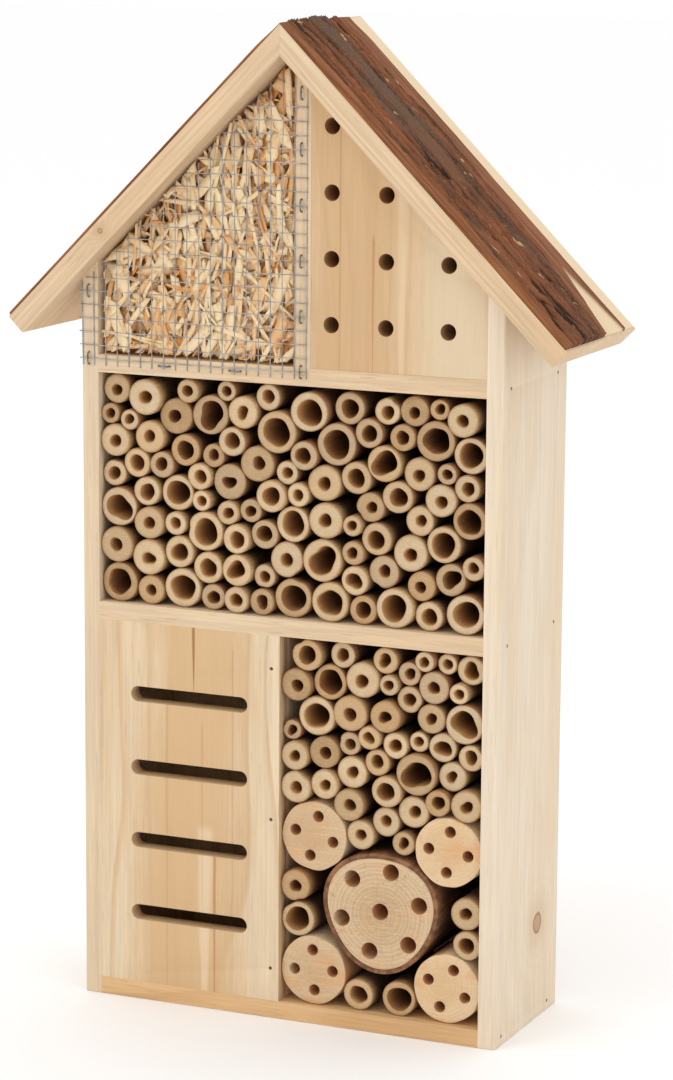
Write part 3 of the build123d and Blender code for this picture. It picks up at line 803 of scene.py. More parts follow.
def bark(tree, given):
    """Old outer bark with dark cracks, orange inner bark beside it, and bare wood at the edge."""
    vector = given["Vector"]
    rough, bare, fissure, plate, down = (
        read_attribute(tree, name) for name in ("rough", "bare", "fissure", "plate", "down")
    )
    streaks = grainy(tree, stretched(tree, vector, (28.0, 420.0, 420.0)), 1.0, 4.0, 0.6)
    blotch = grainy(tree, stretched(tree, vector, (22.0, 90.0, 90.0), (3, 1, 2)), 1.0, 4.0, 0.65)
    grit = grainy(tree, vector, 900.0, 3.0, 0.7)
    inner = tinted(tree, (0.160, 0.051, 0.017), (0.33, 0.122, 0.040), streaks, 0.35, 0.68)
    inner = tinted(tree, inner, (0.22, 0.080, 0.034), blotch, 0.48, 0.7, 0.0, 0.6)
    outer = tinted(tree, (0.105, 0.048, 0.028), (0.225, 0.080, 0.032), blotch, 0.36, 0.62)
    high_up = remap(tree, down, 0.3, 0.62, 1.0, 0.3)
    grey = sums(tree, "MULTIPLY", remap(tree, plate, 0.1, 0.42, 0.0, 0.85), high_up)
    outer = blend(tree, grey, outer, (0.132, 0.077, 0.050))
    outer = tinted(tree, outer, (0.29, 0.102, 0.040), plate, -0.35, -0.12, 0.7, 0.0)
    outer = tinted(tree, outer, (0.095, 0.050, 0.034), streaks, 0.5, 0.75, 0.0, 0.5)
    outer = tinted(tree, outer, (0.31, 0.20, 0.13), grit, 0.5, 0.75, 0.0, 0.45)
    colour = blend(tree, rough, inner, outer)
    colour = tinted(tree, colour, (0.032, 0.017, 0.011), fissure, 0.15, 0.8, 0.0, 0.92)
    spots = grainy(tree, stretched(tree, vector, (95.0, 190.0, 190.0), (9, 4, 1)), 1.0, 2.0, 0.5)
    spots = sums(tree, "MULTIPLY", remap(tree, spots, 0.67, 0.72), rough)
    colour = blend(tree, spots, colour, (0.52, 0.36, 0.20))
    wood = from_group(
        tree, ring_wood_group(), Vector=vector, Seed=(2, 2, 6), Pith_Z=0.12, Ring_Width=0.006, Wobble=0.03
    )
    late = sums(tree, "MULTIPLY", wood["Late"], 0.35)
    timber = blend(tree, late, (0.79, 0.62, 0.41), (0.65, 0.41, 0.20))
    height = sums(tree, "MULTIPLY_ADD", blotch, 0.8, sums(tree, "MULTIPLY_ADD", grit, 0.6, streaks))
    return {
        "Color": blend(tree, bare, colour, timber),
        "Roughness": remap(tree, rough, 0.0, 1.0, 0.62, 0.86),
        "Height": sums(tree, "MULTIPLY", height, remap(tree, rough, 0.0, 1.0, 0.35, 1.0)),
    }


def bark_material(name, axis):
    """The roof's bark, with its streaks running down one slope."""
    material, tree, shader = new_material(name)
    group = node_group("Bark", {"Vector": NOWHERE}, bark)
    made = from_group(tree, group, Vector=along(tree, axis))
    dress(tree, shader, made["Color"], made["Roughness"], 0.12, made["Height"], 0.8, 0.0007)
    return material


class HOTEL_OT_bark(bpy.types.Operator):
    """Grows the bark's plates and cracks over both roof boards"""

    bl_idname = "hotel.bark"
    bl_label = "Roof bark"

    def execute(self, context):
        need("right_bark", "left_bark")
        settings = context.scene.hotel_bark
        for side, word in ((1, "right"), (-1, "left")):
            material = bark_material(f"Bark {word}", f"{word} slope")
            new_piece(f"{word}_roof_bark", bark_mesh(side, settings), [f"{word}_bark"], [material])
        return {"FINISHED"}


# ------------------------------------------------------------------------ canes
class CaneSettings(bpy.types.PropertyGroup):
    """How the bamboo canes vary."""

    segments: IntProperty(name="Segments", description="Points round each cane", default=40)
    seed: IntProperty(name="Seed", description="Which set of canes", default=5)
    unevenness: FloatProperty(
        name="Front unevenness",
        description="How far sawn ends stand before or behind each other",
        default=0.0016,
        unit="LENGTH",
    )


# Chances of an oval bore and of a dented skin.
OVAL_BORE = 0.14
DENTED_SKIN = 0.12
# A cane is drawn a little slimmer than its CAD solid, with its rims eased, in metres.
SLIMMER = 0.984
RIM_EASE = 0.0003
BORE_EASE = 0.00022
# Depths of the bore's loops behind the sawn end, from the closed end forward.
BORE_STEPS = (0.028, 0.012, 0.004, 0.0004)
# The skin's joint, which stands out a little, and the depth where the saw's tilt ends.
JOINT_HALF = 0.0012
JOINT_SWELL = 0.00012
SAWN_DEPTH = 0.002
# The sawn end's loops lie at these shares of the way from the bore to the skin.
END_LOOPS = (0.35, 0.7)
# Material slots of a cane, and the slot of each band between its loops.
END, SKIN, BORE = 0, 1, 2
BANDS = [BORE] * 5 + [END] * 3 + [SKIN] * 6
# Share of the way from bore to skin of each loop.
SPREAD = [0.0] * 6 + [*END_LOOPS] + [1.0] * 7


def cane_points(rng, centre, radius, bore, front, back, septum, settings):
    """Loops of one cane: bore, sawn end and skin, from the septum out to the back."""
    count = settings.segments
    angles = [math.tau * k / count for k in range(count)]
    p = [rng.uniform(0, math.tau) for _ in range(6)]
    outer_wave = [rng.uniform(0.004, 0.014), rng.uniform(0.0, 0.009)]
    bore_wave = [rng.uniform(0.02, 0.07), rng.uniform(0.01, 0.045), rng.uniform(0.0, 0.03)]
    if rng.random() < OVAL_BORE:
        bore_wave = [rng.uniform(0.13, 0.2), rng.uniform(0.05, 0.1), 0.02]
    dent = rng.uniform(0.07, 0.14) if rng.random() < DENTED_SKIN else 0.0
    shift = (radius - bore) * rng.uniform(0.0, 0.17)
    cx = shift * math.cos(p[4])
    cz = shift * math.sin(p[4])
    saw = rng.uniform(-0.012, 0.012), rng.uniform(-0.012, 0.012)
    lean = rng.uniform(-0.006, 0.006), rng.uniform(-0.006, 0.006)

    def outer(angle):
        wave = outer_wave[0] * math.cos(2 * angle + p[0]) + outer_wave[1] * math.cos(3 * angle + p[1])
        wave -= dent * math.exp(-((math.remainder(angle - p[5], math.tau) / 0.3) ** 2))
        return radius * (SLIMMER + wave)

    def inner(angle):
        wave = bore_wave[0] * math.cos(2 * angle + p[2]) + bore_wave[1] * math.cos(3 * angle + p[3])
        wave += bore_wave[2] * math.cos(5 * angle + p[5])
        return bore * (1.0 + wave)

    def at(angle, r, y, inside):
        x = r * math.cos(angle) + (cx if inside else 0.0)
        z = r * math.sin(angle) + (cz if inside else 0.0)
        tilt = saw[0] * x + saw[1] * z if y < front + SAWN_DEPTH else 0.0
        run = y - front
        return (centre[0] + x + lean[0] * run, y + tilt, centre[1] + z + lean[1] * run)

    loops = []
    for y in [septum] + [front + step for step in BORE_STEPS]:
        ripple = 1 + 0.02 * math.sin(900 * y + p[0])
        loops.append([at(a, inner(a) * ripple, y, True) for a in angles])
    loops.append([at(a, inner(a) + BORE_EASE, front + 0.00004, True) for a in angles])
    for share in END_LOOPS:
        loop = []
        for a in angles:
            ix, _, iz = at(a, inner(a), front, True)
            ox, _, oz = at(a, outer(a) - RIM_EASE, front, False)
            grain = 0.00006 * noise.noise(Vector((ix * 900, iz * 900, share * 9)))
            x = ix + (ox - ix) * share
            z = iz + (oz - iz) * share
            tilt = saw[0] * (x - centre[0]) + saw[1] * (z - centre[1])
            loop.append((x, front + tilt + grain, z))
        loops.append(loop)
    loops.append([at(a, outer(a) - RIM_EASE, front + 0.00003, False) for a in angles])
    joint = front + rng.uniform(0.01, 0.06)
    skin_steps = [front + 0.0004, front + 0.006, joint - JOINT_HALF, joint, joint + JOINT_HALF, back]
    for y in sorted(skin_steps):
        swell = JOINT_SWELL if abs(y - joint) < SAME_POINT else 0.0
        loops.append([at(a, outer(a) + swell, min(y, back), False) for a in angles])
    return loops


def cane_mesh(name, canes, front, back, settings, rng):
    """One mesh of a row of canes, with a colour tone for each."""
    count = settings.segments
    points, faces, kinds = [], [], []
    tone, radial, age = [], [], []
    for centre, radius, bore, septum in canes:
        own_front = front + rng.uniform(-1.0, 1.0) * settings.unevenness
        loops = cane_points(rng, centre, radius, bore, own_front, back, septum, settings)
        own_tone = rng.random()
        own_age = rng.random()
        base = len(points)
        for loop, share in zip(loops, SPREAD):
            points.extend(loop)
            tone.extend([own_tone] * count)
            radial.extend([share] * count)
            age.extend([own_age] * count)
        faces.extend(tube_faces(len(loops), count, base))
        kinds.extend(band for band in BANDS for _ in range(count))
        kinds.extend((BORE, END))
    mesh = mesh_from(name, points, faces, kinds)
    float_attribute(mesh, "tone", tone)
    float_attribute(mesh, "radial", radial)
    float_attribute(mesh, "age", age)
    mesh.set_sharp_from_angle(angle=math.radians(50))
    return mesh


def cane_tone(tree, given):
    """A cane's own colour, between light and dark by its tone, and its age."""
    tone = remap(tree, read_attribute(tree, "tone"), 0.0, 1.0)
    colour = blend(tree, tone, given["Light"], given["Dark"])
    return {"Color": colour, "Age": read_attribute(tree, "age")}


def toned(tree, light, dark):
    """The colour and age of the cane tone group, given its two colours."""
    group = node_group("Cane tone", {"Light": WHITE, "Dark": BLACK}, cane_tone)
    made = from_group(tree, group, Light=light, Dark=dark)
    return made["Color"], made["Age"]


def cane_end_material():
    """Sawn bamboo: packed dark fibre ends near the skin, paler and softer near the bore."""
    material, tree, shader = new_material("Cane end")
    place = object_place(tree)
    colour, age = toned(tree, (0.655, 0.495, 0.305), (0.39, 0.245, 0.12))
    colour = tinted(tree, colour, (0.50, 0.395, 0.27), age, 0.55, 0.75, 0.0, 0.4)
    colour = tinted(tree, colour, (0.58, 0.345, 0.16), age, 0.3, 0.12, 0.0, 0.4)
    radial = read_attribute(tree, "radial")
    cells = {"Vector": stretched(tree, place, (1.0, 0.05, 1.0)), "Scale": 1500.0}
    dots = put(tree, "ShaderNodeTexVoronoi", cells).outputs["Distance"]
    dots = remap(tree, dots, 0.12, 0.42, 1.0, 0.0)
    dots = sums(tree, "MULTIPLY", dots, remap(tree, radial, 0.1, 1.0, 0.12, 0.5))
    cloud = grainy(tree, place, 130.0, 3.0)
    colour = tinted(tree, colour, (0.52, 0.35, 0.185), cloud, 0.35, 0.7, 0.0, 0.45)
    colour = blend(tree, dots, colour, (0.29, 0.145, 0.055))
    colour = tinted(tree, colour, (0.33, 0.165, 0.062), radial, 0.8, 1.0, 0.0, 0.65)
    colour = tinted(tree, colour, (0.40, 0.21, 0.085), radial, 0.0, 0.22, 0.55, 0.0)
    scratch = grainy(tree, stretched(tree, place, (260.0, 260.0, 2600.0)), 1.0, 2.0)
    colour = tinted(tree, colour, (0.84, 0.69, 0.46), scratch, 0.5, 0.8, 0.0, 0.25)
    dress(tree, shader, colour, 0.75, 0.25, sums(tree, "ADD", scratch, cloud), 0.4, 0.0002)
    return material


def cane_skin_material():
    """The cane's outside: smooth, streaked along its length, some red-brown, with painted shade darkening it
    deeper between the canes.
    """
    material, tree, shader = new_material("Cane skin")
    place = object_place(tree)
    colour, age = toned(tree, (0.56, 0.36, 0.165), (0.34, 0.165, 0.068))
    streak = grainy(tree, stretched(tree, place, (700.0, 18.0, 700.0)), 1.0, 3.0)
    colour = tinted(tree, colour, (0.36, 0.19, 0.08), streak, 0.35, 0.7, 0.0, 0.6)
    colour = tinted(tree, colour, (0.28, 0.09, 0.04), age, 0.72, 0.95, 0.0, 0.6)
    # Painted shade: the skin darkens behind the sawn ends, where the gaps between the canes lie in shade.
    colour = deep_shade(tree, place, colour, (0.065, 0.035, 0.020), 0.0, 0.014, 0.95)
    roughness = remap(tree, streak, 0.3, 0.7, 0.38, 0.55)
    dress(tree, shader, colour, roughness, 0.4, streak, 0.2, 0.0002)
    return material


def cane_bore_material():
    """The cane's inside wall: dull, orange-brown, with torn pith, and painted shade darker towards its closed
    end.
    """
    material, tree, shader = new_material("Cane bore")
    place = object_place(tree)
    colour, _ = toned(tree, (0.54, 0.295, 0.115), (0.31, 0.14, 0.05))
    torn = grainy(tree, stretched(tree, place, (500.0, 90.0, 500.0)), 1.0, 4.0, 0.65)
    colour = tinted(tree, colour, (0.58, 0.34, 0.14), torn, 0.45, 0.75, 0.0, 0.45)
    # Painted shade: the bore darkens with depth behind the sawn end.
    colour = deep_shade(tree, place, colour, (0.14, 0.055, 0.020), 0.004, 0.030, 0.75)
    dress(tree, shader, colour, 0.8, 0.3, torn, 0.5, 0.0005)
    return material


class HOTEL_OT_canes(bpy.types.Operator):
    """Rebuilds every cane with its own outline, bore, sawn end and colour"""

    bl_idname = "hotel.canes"
    bl_label = "Bamboo canes"

    def execute(self, context):
        settings = context.scene.hotel_canes
        materials = [cane_end_material(), cane_skin_material(), cane_bore_material()]
        rng = random.Random(settings.seed)
        rows = sorted(n for n in NODES if "canes" in n)
        if not rows:
            raise RuntimeError("The frame has no rows of canes")
        for node in rows:
            canes = []
            low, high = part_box(node)
            for solid in islands(node):
                least, most = solid.min(0), solid.max(0)
                centre = ((least[0] + most[0]) / 2, (least[2] + most[2]) / 2)
                radius = (most[0] - least[0]) / 2
                front_points = solid[solid[:, 1] < least[1] + SAME_DEPTH]
                gaps = np.hypot(front_points[:, 0] - centre[0], front_points[:, 2] - centre[1])
                ends = np.unique(np.round(solid[:, 1], 5))
                canes.append((centre, radius, float(gaps.min()), float(ends[1])))
            mesh = cane_mesh(node + "_bamboo", canes, low.y, high.y, settings, rng)
            new_piece(node + "_bamboo", mesh, [node], materials)
        return {"FINISHED"}


# ------------------------------------------------------------------------- logs
class LogSettings(bpy.types.PropertyGroup):
    """Look of the drilled rounds of branch wood."""

    outline_wave: FloatProperty(
        name="Outline wave",
        description="How far a log's outline strays from a circle",
        default=0.0005,
        unit="LENGTH",
    )
    rim_round: FloatProperty(
        name="Rim round", description="Radius of the sawn rims", default=0.0004, unit="LENGTH"
    )


def sawn_log(tree, given):
    """Sawn end of a branch: rings round its heart, small cracks, saw marks and painted shade on the walls of
    its holes.
    """
    place = given["Vector"]
    rim = given["Rim"]
    # The grain runs from front to back, so depth becomes the rings' X.
    lying = turned(tree, place, (0, 0, -math.pi / 2))
    sideways = sums(tree, "MULTIPLY", given["Centre X"], -1.0)
    wood = from_group(
        tree, ring_wood_group(), Vector=lying, Seed=given["Seed"],
        Pith_Y=sideways, Pith_Z=given["Centre Z"], Ring_Width=given["Ring Width"], Wobble=0.006,
    )
    parts = split_up(tree, place)
    x = sums(tree, "SUBTRACT", parts["X"], given["Centre X"])
    z = sums(tree, "SUBTRACT", parts["Z"], given["Centre Z"])
    radius = from_centre(tree, x, z)
    colour = tinted(tree, given["Heart"], given["Sap"], radius, 0.004, 0.02)
    rings = sums(tree, "MULTIPLY", wood["Late"], given["Ring Strength"])
    colour = blend(tree, rings, colour, shaded(tree, given["Heart"], 0.66))
    cloud = grainy(tree, stretched(tree, place, (52.0, 52.0, 85.0)), 1.0, 3.0)
    colour = tinted(tree, colour, (0.70, 0.36, 0.17), cloud, 0.5, 0.66, 0.0, given["Stain"])
    marks = grainy(tree, stretched(tree, place, (60.0, 60.0, 1500.0)), 1.0, 2.0)
    colour = tinted(tree, colour, (0.82, 0.66, 0.45), marks, 0.5, 0.8, 0.0, 0.35)
    # Painted shade: the walls of the drilled holes, inside the rim, turn dark orange-brown.
    inside = remap(tree, sums(tree, "DIVIDE", radius, rim), 0.82, 0.88, 0.85, 0.0)
    colour = blend(tree, sums(tree, "MULTIPLY", given["Wall"], inside), colour, (0.45, 0.195, 0.075))
    angle = sums(tree, "MULTIPLY", sums(tree, "ARCTAN2", z, x), 6.0)
    ray = {"X": angle, "Y": sums(tree, "MULTIPLY", radius, 60.0)}
    ray = put(tree, "ShaderNodeCombineXYZ", ray).outputs[0]
    split = sums(tree, "ABSOLUTE", sums(tree, "SUBTRACT", grainy(tree, ray, 1.0, 2.0), 0.5))
    split = remap(tree, split, 0.0, 0.012, given["Crack"], 0.0)
    height = sums(tree, "MULTIPLY_ADD", wood["Late"], 0.6, marks)
    return {
        "Color": blend(tree, split, colour, (0.20, 0.09, 0.04)),
        "Height": sums(tree, "SUBTRACT", height, split),
    }


LOG_INPUTS = {
    "Vector": NOWHERE,
    "Seed": NOWHERE,
    "Centre X": 0.0,
    "Centre Z": 0.0,
    "Rim": 0.02,
    # Wall is the mask of the painted shade on the hole walls.
    "Wall": 0.0,
    "Ring Width": 0.002,
    "Ring Strength": 0.35,
    "Stain": 0.4,
    "Crack": 0.35,
    "Heart": WHITE,
    "Sap": BLACK,
}
# The big log is duller with plain rings; the small ones are stained.
BIG_LOG = {"Ring_Width": 0.0022, "Ring_Strength": 0.35, "Stain": 0.3, "Crack": 0.35}
SMALL_LOG = {"Ring_Width": 0.0017, "Ring_Strength": 0.16, "Stain": 0.55, "Crack": 0.2}
BIG_COLOURS = {"Heart": (0.56, 0.375, 0.21), "Sap": (0.635, 0.46, 0.28)}
SMALL_COLOURS = {"Heart": (0.64, 0.43, 0.24), "Sap": (0.69, 0.50, 0.30)}
# Painted light and shade: the small logs are drawn darker on the left and lighter on the right.
LEFT_PAINTED_LIGHT = 0.92
RIGHT_PAINTED_LIGHT = 1.07
# How far a log's heart strays sideways and upwards from its middle, in metres.
PITH_STRAY = (0.003, 0.002)


def log_wood(name, pith, rim, seed, big, light):
    """A drilled log's own sawn wood, made lighter or darker by a share of painted light and shade."""
    colours = BIG_COLOURS if big else SMALL_COLOURS
    colours = {key: tuple(light * c for c in colour) for key, colour in colours.items()}
    material, tree, shader = new_material(name)
    made = from_group(
        tree, node_group("Sawn log", LOG_INPUTS, sawn_log),
        Vector=object_place(tree), Seed=seed, Centre_X=pith[0], Centre_Z=pith[1], Rim=rim,
        Wall=drilled_wall(tree), **(BIG_LOG if big else SMALL_LOG), **colours,
    )
    dress(tree, shader, made["Color"], 0.78, 0.25, made["Height"], 0.4, 0.0003)
    return material


# The drilled holes lie within this share of a log's radius.
HOLES_WITHIN = 0.9


def waved(mesh, centre, radius, wave, seed):
    """Pushes a log's outside in and out a little, leaving its holes alone."""
    for vertex in mesh.vertices:
        x = vertex.co.x - centre[0]
        z = vertex.co.z - centre[1]
        distance = math.hypot(x, z)
        if distance < radius * HOLES_WITHIN:
            continue
        angle = math.atan2(z, x)
        turn = Vector((math.cos(angle) * 2.2, math.sin(angle) * 2.2, seed + vertex.co.y * 8))
        push = -wave * (0.6 + noise.noise(turn))
        vertex.co.x += push * x / distance
        vertex.co.z += push * z / distance
    mesh.update()


def bark_ring_material():
    """Thin branch bark round the big log, with painted shade deeper behind the front."""
    material, tree, shader = new_material("Branch bark")
    place = object_place(tree)
    blotch = grainy(tree, stretched(tree, place, (160.0, 60.0, 160.0)), 1.0, 4.0, 0.65)
    fine = grainy(tree, stretched(tree, place, (900.0, 200.0, 900.0)), 1.0, 3.0)
    colour = tinted(tree, (0.15, 0.064, 0.030), (0.33, 0.155, 0.068), blotch, 0.35, 0.65)
    colour = tinted(tree, colour, (0.085, 0.043, 0.024), fine, 0.5, 0.75, 0.0, 0.55)
    # Painted shade: the bark darkens deeper behind the front.
    colour = deep_shade(tree, place, colour, (0.05, 0.024, 0.013), 0.002, 0.02, 0.85)
    dress(tree, shader, colour, 0.85, 0.3, sums(tree, "ADD", blotch, fine), 0.8, 0.0007)
    return material


class HOTEL_OT_logs(bpy.types.Operator):
    """Finishes the drilled logs and the bark round the big one"""

    bl_idname = "hotel.logs"
    bl_label = "Drilled logs"

    def execute(self, context):
        settings = context.scene.hotel_logs
        names = sorted(n for n in NODES if n.startswith("small_log")) + ["big_log"]
        need("big_log_bark", *names)
        for number, node in enumerate(names):
            low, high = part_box(node)
            centre = ((low.x + high.x) / 2, (low.z + high.z) / 2)
            rim = (high.x - low.x) / 2
            big = node == "big_log"
            pith = (
                centre[0] + PITH_STRAY[0] * (number % 3 - 1),
                centre[1] + PITH_STRAY[1] * (number % 2),
            )
            # Painted light and shade on the small logs, darker on the left, lighter on the right.
            light = 1.0 if big else (LEFT_PAINTED_LIGHT if "left" in node else RIGHT_PAINTED_LIGHT)
            material = log_wood(f"Log {number + 1}", pith, rim, (number, 2, number * 3), big, light)
            mesh = eased_mesh(node, settings.rim_round, node + "_wood")
            if not big:
                waved(mesh, centre, rim, settings.outline_wave, number * 5.0)
            new_piece(node + "_wood", mesh, [node], [material])
        mesh = eased_mesh("big_log_bark", settings.rim_round, "big_log_bark_skin")
        new_piece("big_log_bark_skin", mesh, ["big_log_bark"], [bark_ring_material()])
        return {"FINISHED"}


# --------------------------------------------------------------------- shavings
class ShavingSettings(bpy.types.PropertyGroup):
    """Amount and size of the loose wood shavings."""

    count: IntProperty(name="Shavings", description="How many curled flakes", default=1050)
    seed: IntProperty(name="Seed", description="Which heap of shavings", default=21)
    thickness: FloatProperty(
        name="Thickness", description="Thickness of a flake", default=0.0004, unit="LENGTH"
    )


# Kinds of flake, each with the share of flakes up to it, its lengths and its widths.
FLAKES = (
    (0.34, (0.018, 0.040), (0.0012, 0.0028)),
    (0.78, (0.011, 0.028), (0.0030, 0.0060)),
    (1.00, (0.005, 0.012), (0.0020, 0.0045)),
)
FLAKE_STEPS = 8
TIGHT_CURLS = 0.12
UPRIGHT_FLAKES = 0.6
# Flakes keep off the boards round their room, and start further in still.
ROOM_GAP = 0.0006
START_GAP = 0.0012
MESH_GAP = 0.0003
# Where the heap begins behind the mesh and how deep it is.
HEAP_START = 0.0018
HEAP_DEPTH = 0.013
# Where the imported bed begins, how lumpy it is, its grid, and how far its colour goes to its darker painted
# shade.
BED_START = 0.0115
BED_LUMPS = 0.006
BED_ROWS, BED_COLUMNS = 80, 60
BED_SHADE = 0.8


def flake(rng, centre, size, thickness):
    """One curled flake: a bent strip with torn ends, as its upper and its lower points."""
    length, width = size
    curl = rng.choice((-1, 1)) * rng.uniform(0.08, 0.7) / length
    if rng.random() < TIGHT_CURLS:
        curl = rng.choice((-1, 1)) * rng.uniform(2.0, 4.5) / length
    twist = rng.uniform(-0.45, 0.45)
    upright = rng.random() < UPRIGHT_FLAKES
    heading = rng.gauss(math.pi / 2, 0.36) if upright else rng.uniform(0, math.pi)
    turn = Matrix.Rotation(-heading, 3, "Y")
    turn = turn @ Matrix.Rotation(rng.gauss(0, 0.30), 3, "X")
    turn = turn @ Matrix.Rotation(rng.gauss(0, 0.16), 3, "Z")
    end_cut = rng.uniform(-0.5, 0.5) * width
    top, bottom = [], []
    for step in range(FLAKE_STEPS):
        share = step / (FLAKE_STEPS - 1) - 0.5
        s = share * length
        angle = curl * s
        x = math.sin(angle) / curl
        y = (1 - math.cos(angle)) / curl
        taper = 1.0 - 0.3 * abs(share * 2) ** 4 * rng.uniform(0.0, 1.4)
        half = width / 2 * taper
        roll = twist * share
        normal = Vector((-math.sin(angle), math.cos(angle), 0))
        for edge in (-1, 0, 1):
            z = half * edge
            bow = 0.06 * width * (1 - edge * edge)
            ragged = rng.uniform(-0.05, 0.05) * width if edge else 0.0
            slant = end_cut * edge * abs(share * 2) ** 4 * (1 if share > 0 else -1)
            point = Vector((x + slant, y, z + ragged)) + normal * (roll * z + bow)
            top.append(centre + turn @ (point + normal * thickness / 2))
            bottom.append(centre + turn @ (point - normal * thickness / 2))
    return top, bottom


def inside_room(point, low, high, margin):
    """Whether a point is in the shavings room and under the roof."""
    if not (low.x + margin < point.x < high.x - margin):
        return False
    return low.z + margin * 0.5 < point.z < under_roof(point.x) - margin * 1.2


def moved_inside(points, low, high):
    """Shifts a flake off the mesh, the boards and the roof, then trims what still stands out."""
    gap = ROOM_GAP
    shift = Vector((0, 0, 0))
    shift.y = max(0.0, low.y + MESH_GAP - min(p.y for p in points))
    shift.x = max(0.0, low.x + gap - min(p.x for p in points))
    shift.x -= max(0.0, max(p.x for p in points) - high.x + gap)
    shift.z = max(0.0, low.z + gap - min(p.z for p in points))
    over = max(p.z + shift.z - under_roof(p.x + shift.x) + 2 * gap for p in points)
    shift.z -= max(0.0, over)
    trimmed = []
    for point in points:
        x, y, z = point + shift
        x = min(max(x, low.x + gap * 0.3), high.x - gap * 0.3)
        z = min(max(z, low.z + gap * 0.3), under_roof(x) - gap)
        trimmed.append((x, y, z))
    return trimmed


def flake_faces(base, count):
    """Faces of one flake: upper and lower side, long edges, then the two ends."""
    faces = []
    for step in range(FLAKE_STEPS - 1):
        for column in range(2):
            a = base + step * 3 + column
            faces.append((a, a + 1, a + 4, a + 3))
            b = a + count
            faces.append((b, b + 3, b + 4, b + 1))
        for column in (0, 2):
            a = base + step * 3 + column
            quad = (a, a + 3, a + 3 + count, a + count)
            faces.append(quad if column == 0 else tuple(reversed(quad)))
    for step in (0, FLAKE_STEPS - 1):
        for column in range(2):
            a = base + step * 3 + column
            quad = (a, a + count, a + 1 + count, a + 1)
            faces.append(quad if step == 0 else tuple(reversed(quad)))
    return faces


def shavings_mesh(settings):
    """A heap of flakes behind the mesh, the first ones deepest."""
    rng = random.Random(settings.seed)
    low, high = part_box("wood_shavings")
    points, faces, tone = [], [], []
    made = 0
    while made < settings.count:
        depth = 1.0 - (made / settings.count) ** 0.8
        across = rng.uniform(low.x, high.x)
        centre = Vector((across, low.y + HEAP_START + depth * HEAP_DEPTH, rng.uniform(low.z, high.z)))
        if not inside_room(centre, low, high, START_GAP):
            continue
        made += 1
        kind = rng.random()
        lengths, widths = next(sizes for share, *sizes in FLAKES if kind < share)
        size = (rng.uniform(*lengths), rng.uniform(*widths))
        top, bottom = flake(rng, centre, size, settings.thickness)
        faces.extend(flake_faces(len(points), len(top)))
        points.extend(moved_inside(top + bottom, low, high))
        # Painted shade: flakes lying deeper in the heap get a darker tone; the random part is their own tone.
        own_tone = min(1.0, 0.62 * rng.random() ** 1.6 + 0.95 * depth)
        tone.extend([own_tone] * (2 * len(top)))
    mesh = mesh_from("shavings", points, faces)
    float_attribute(mesh, "tone", tone)
    return mesh


def bed_mesh():
    """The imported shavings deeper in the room, as a lumpy closed block."""
    low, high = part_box("wood_shavings")
    rows, columns = BED_ROWS, BED_COLUMNS
    front, back = [], []
    for row in range(rows + 1):
        for column in range(columns + 1):
            x = low.x + (high.x - low.x) * column / columns
            top = min(under_roof(x), RIDGE_UNDER) - 1.5 * ROOM_GAP
            z = low.z + (top - low.z) * row / rows
            lump = noise.turbulence(Vector((x * 160, z * 160, 2.0)), 3, True)
            front.append((x, low.y + BED_START + BED_LUMPS * lump, z))
            back.append((x, high.y, z))
    behind = len(front)
    faces = grid_quads(rows, columns)
    rim = grid_rim(rows, columns)
    for a, b in zip(rim, rim[1:] + rim[:1]):
        faces.append((b, a, a + behind, b + behind))
    faces += turned_over(grid_quads(rows, columns, behind))
    mesh = mesh_from("shavings_bed", front + back, faces)
    float_attribute(mesh, "tone", [BED_SHADE] * len(front + back))
    return mesh


def shaving(tree, given):
    """Thin softwood flakes: pale in front, with painted shade making them darker orange where they lie deep
    in the heap.
    """
    place = given["Vector"]
    colour = tinted(tree, given["Light"], given["Dark"], read_attribute(tree, "tone"), 0.2, 0.95)
    fibre = grainy(tree, stretched(tree, place, (700.0, 300.0, 260.0)), 1.0, 3.0, 0.6)
    colour = tinted(tree, colour, shaded(tree, given["Dark"], 0.9), fibre, 0.45, 0.78, 0.0, 0.3)
    cloud = grainy(tree, place, 90.0, 2.0)
    colour = tinted(tree, colour, (0.93, 0.76, 0.53), cloud, 0.5, 0.75, 0.0, 0.3)
    return {"Color": colour, "Height": fibre}


def shavings_material(name, light, dark):
    """The shavings in one pair of colours."""
    material, tree, shader = new_material(name)
    group = node_group("Shaving", {"Vector": NOWHERE, "Light": WHITE, "Dark": BLACK}, shaving)
    made = from_group(tree, group, Vector=object_place(tree), Light=light, Dark=dark)
    dress(tree, shader, made["Color"], 0.62, 0.35, made["Height"], 0.35, 0.0002)
    return material


class HOTEL_OT_shavings(bpy.types.Operator):
    """Fills the attic room with curled wood shavings"""

    bl_idname = "hotel.shavings"
    bl_label = "Wood shavings"

    def execute(self, context):
        need("wood_shavings")
        settings = context.scene.hotel_shavings
        loose = shavings_material("Shavings", (0.96, 0.755, 0.47), (0.80, 0.37, 0.10))
        # The bed behind the loose flakes is painted shade: dark orange for the shade in the heap's gaps.
        packed = shavings_material("Shade_painted shavings", (0.66, 0.30, 0.085), (0.60, 0.24, 0.06))
        heap = shavings_mesh(settings)
        new_piece("wood_shavings_loose", heap, ["wood_shavings"], [loose])
        new_piece("wood_shavings_bed", bed_mesh(), [], [packed])
        return {"FINISHED"}


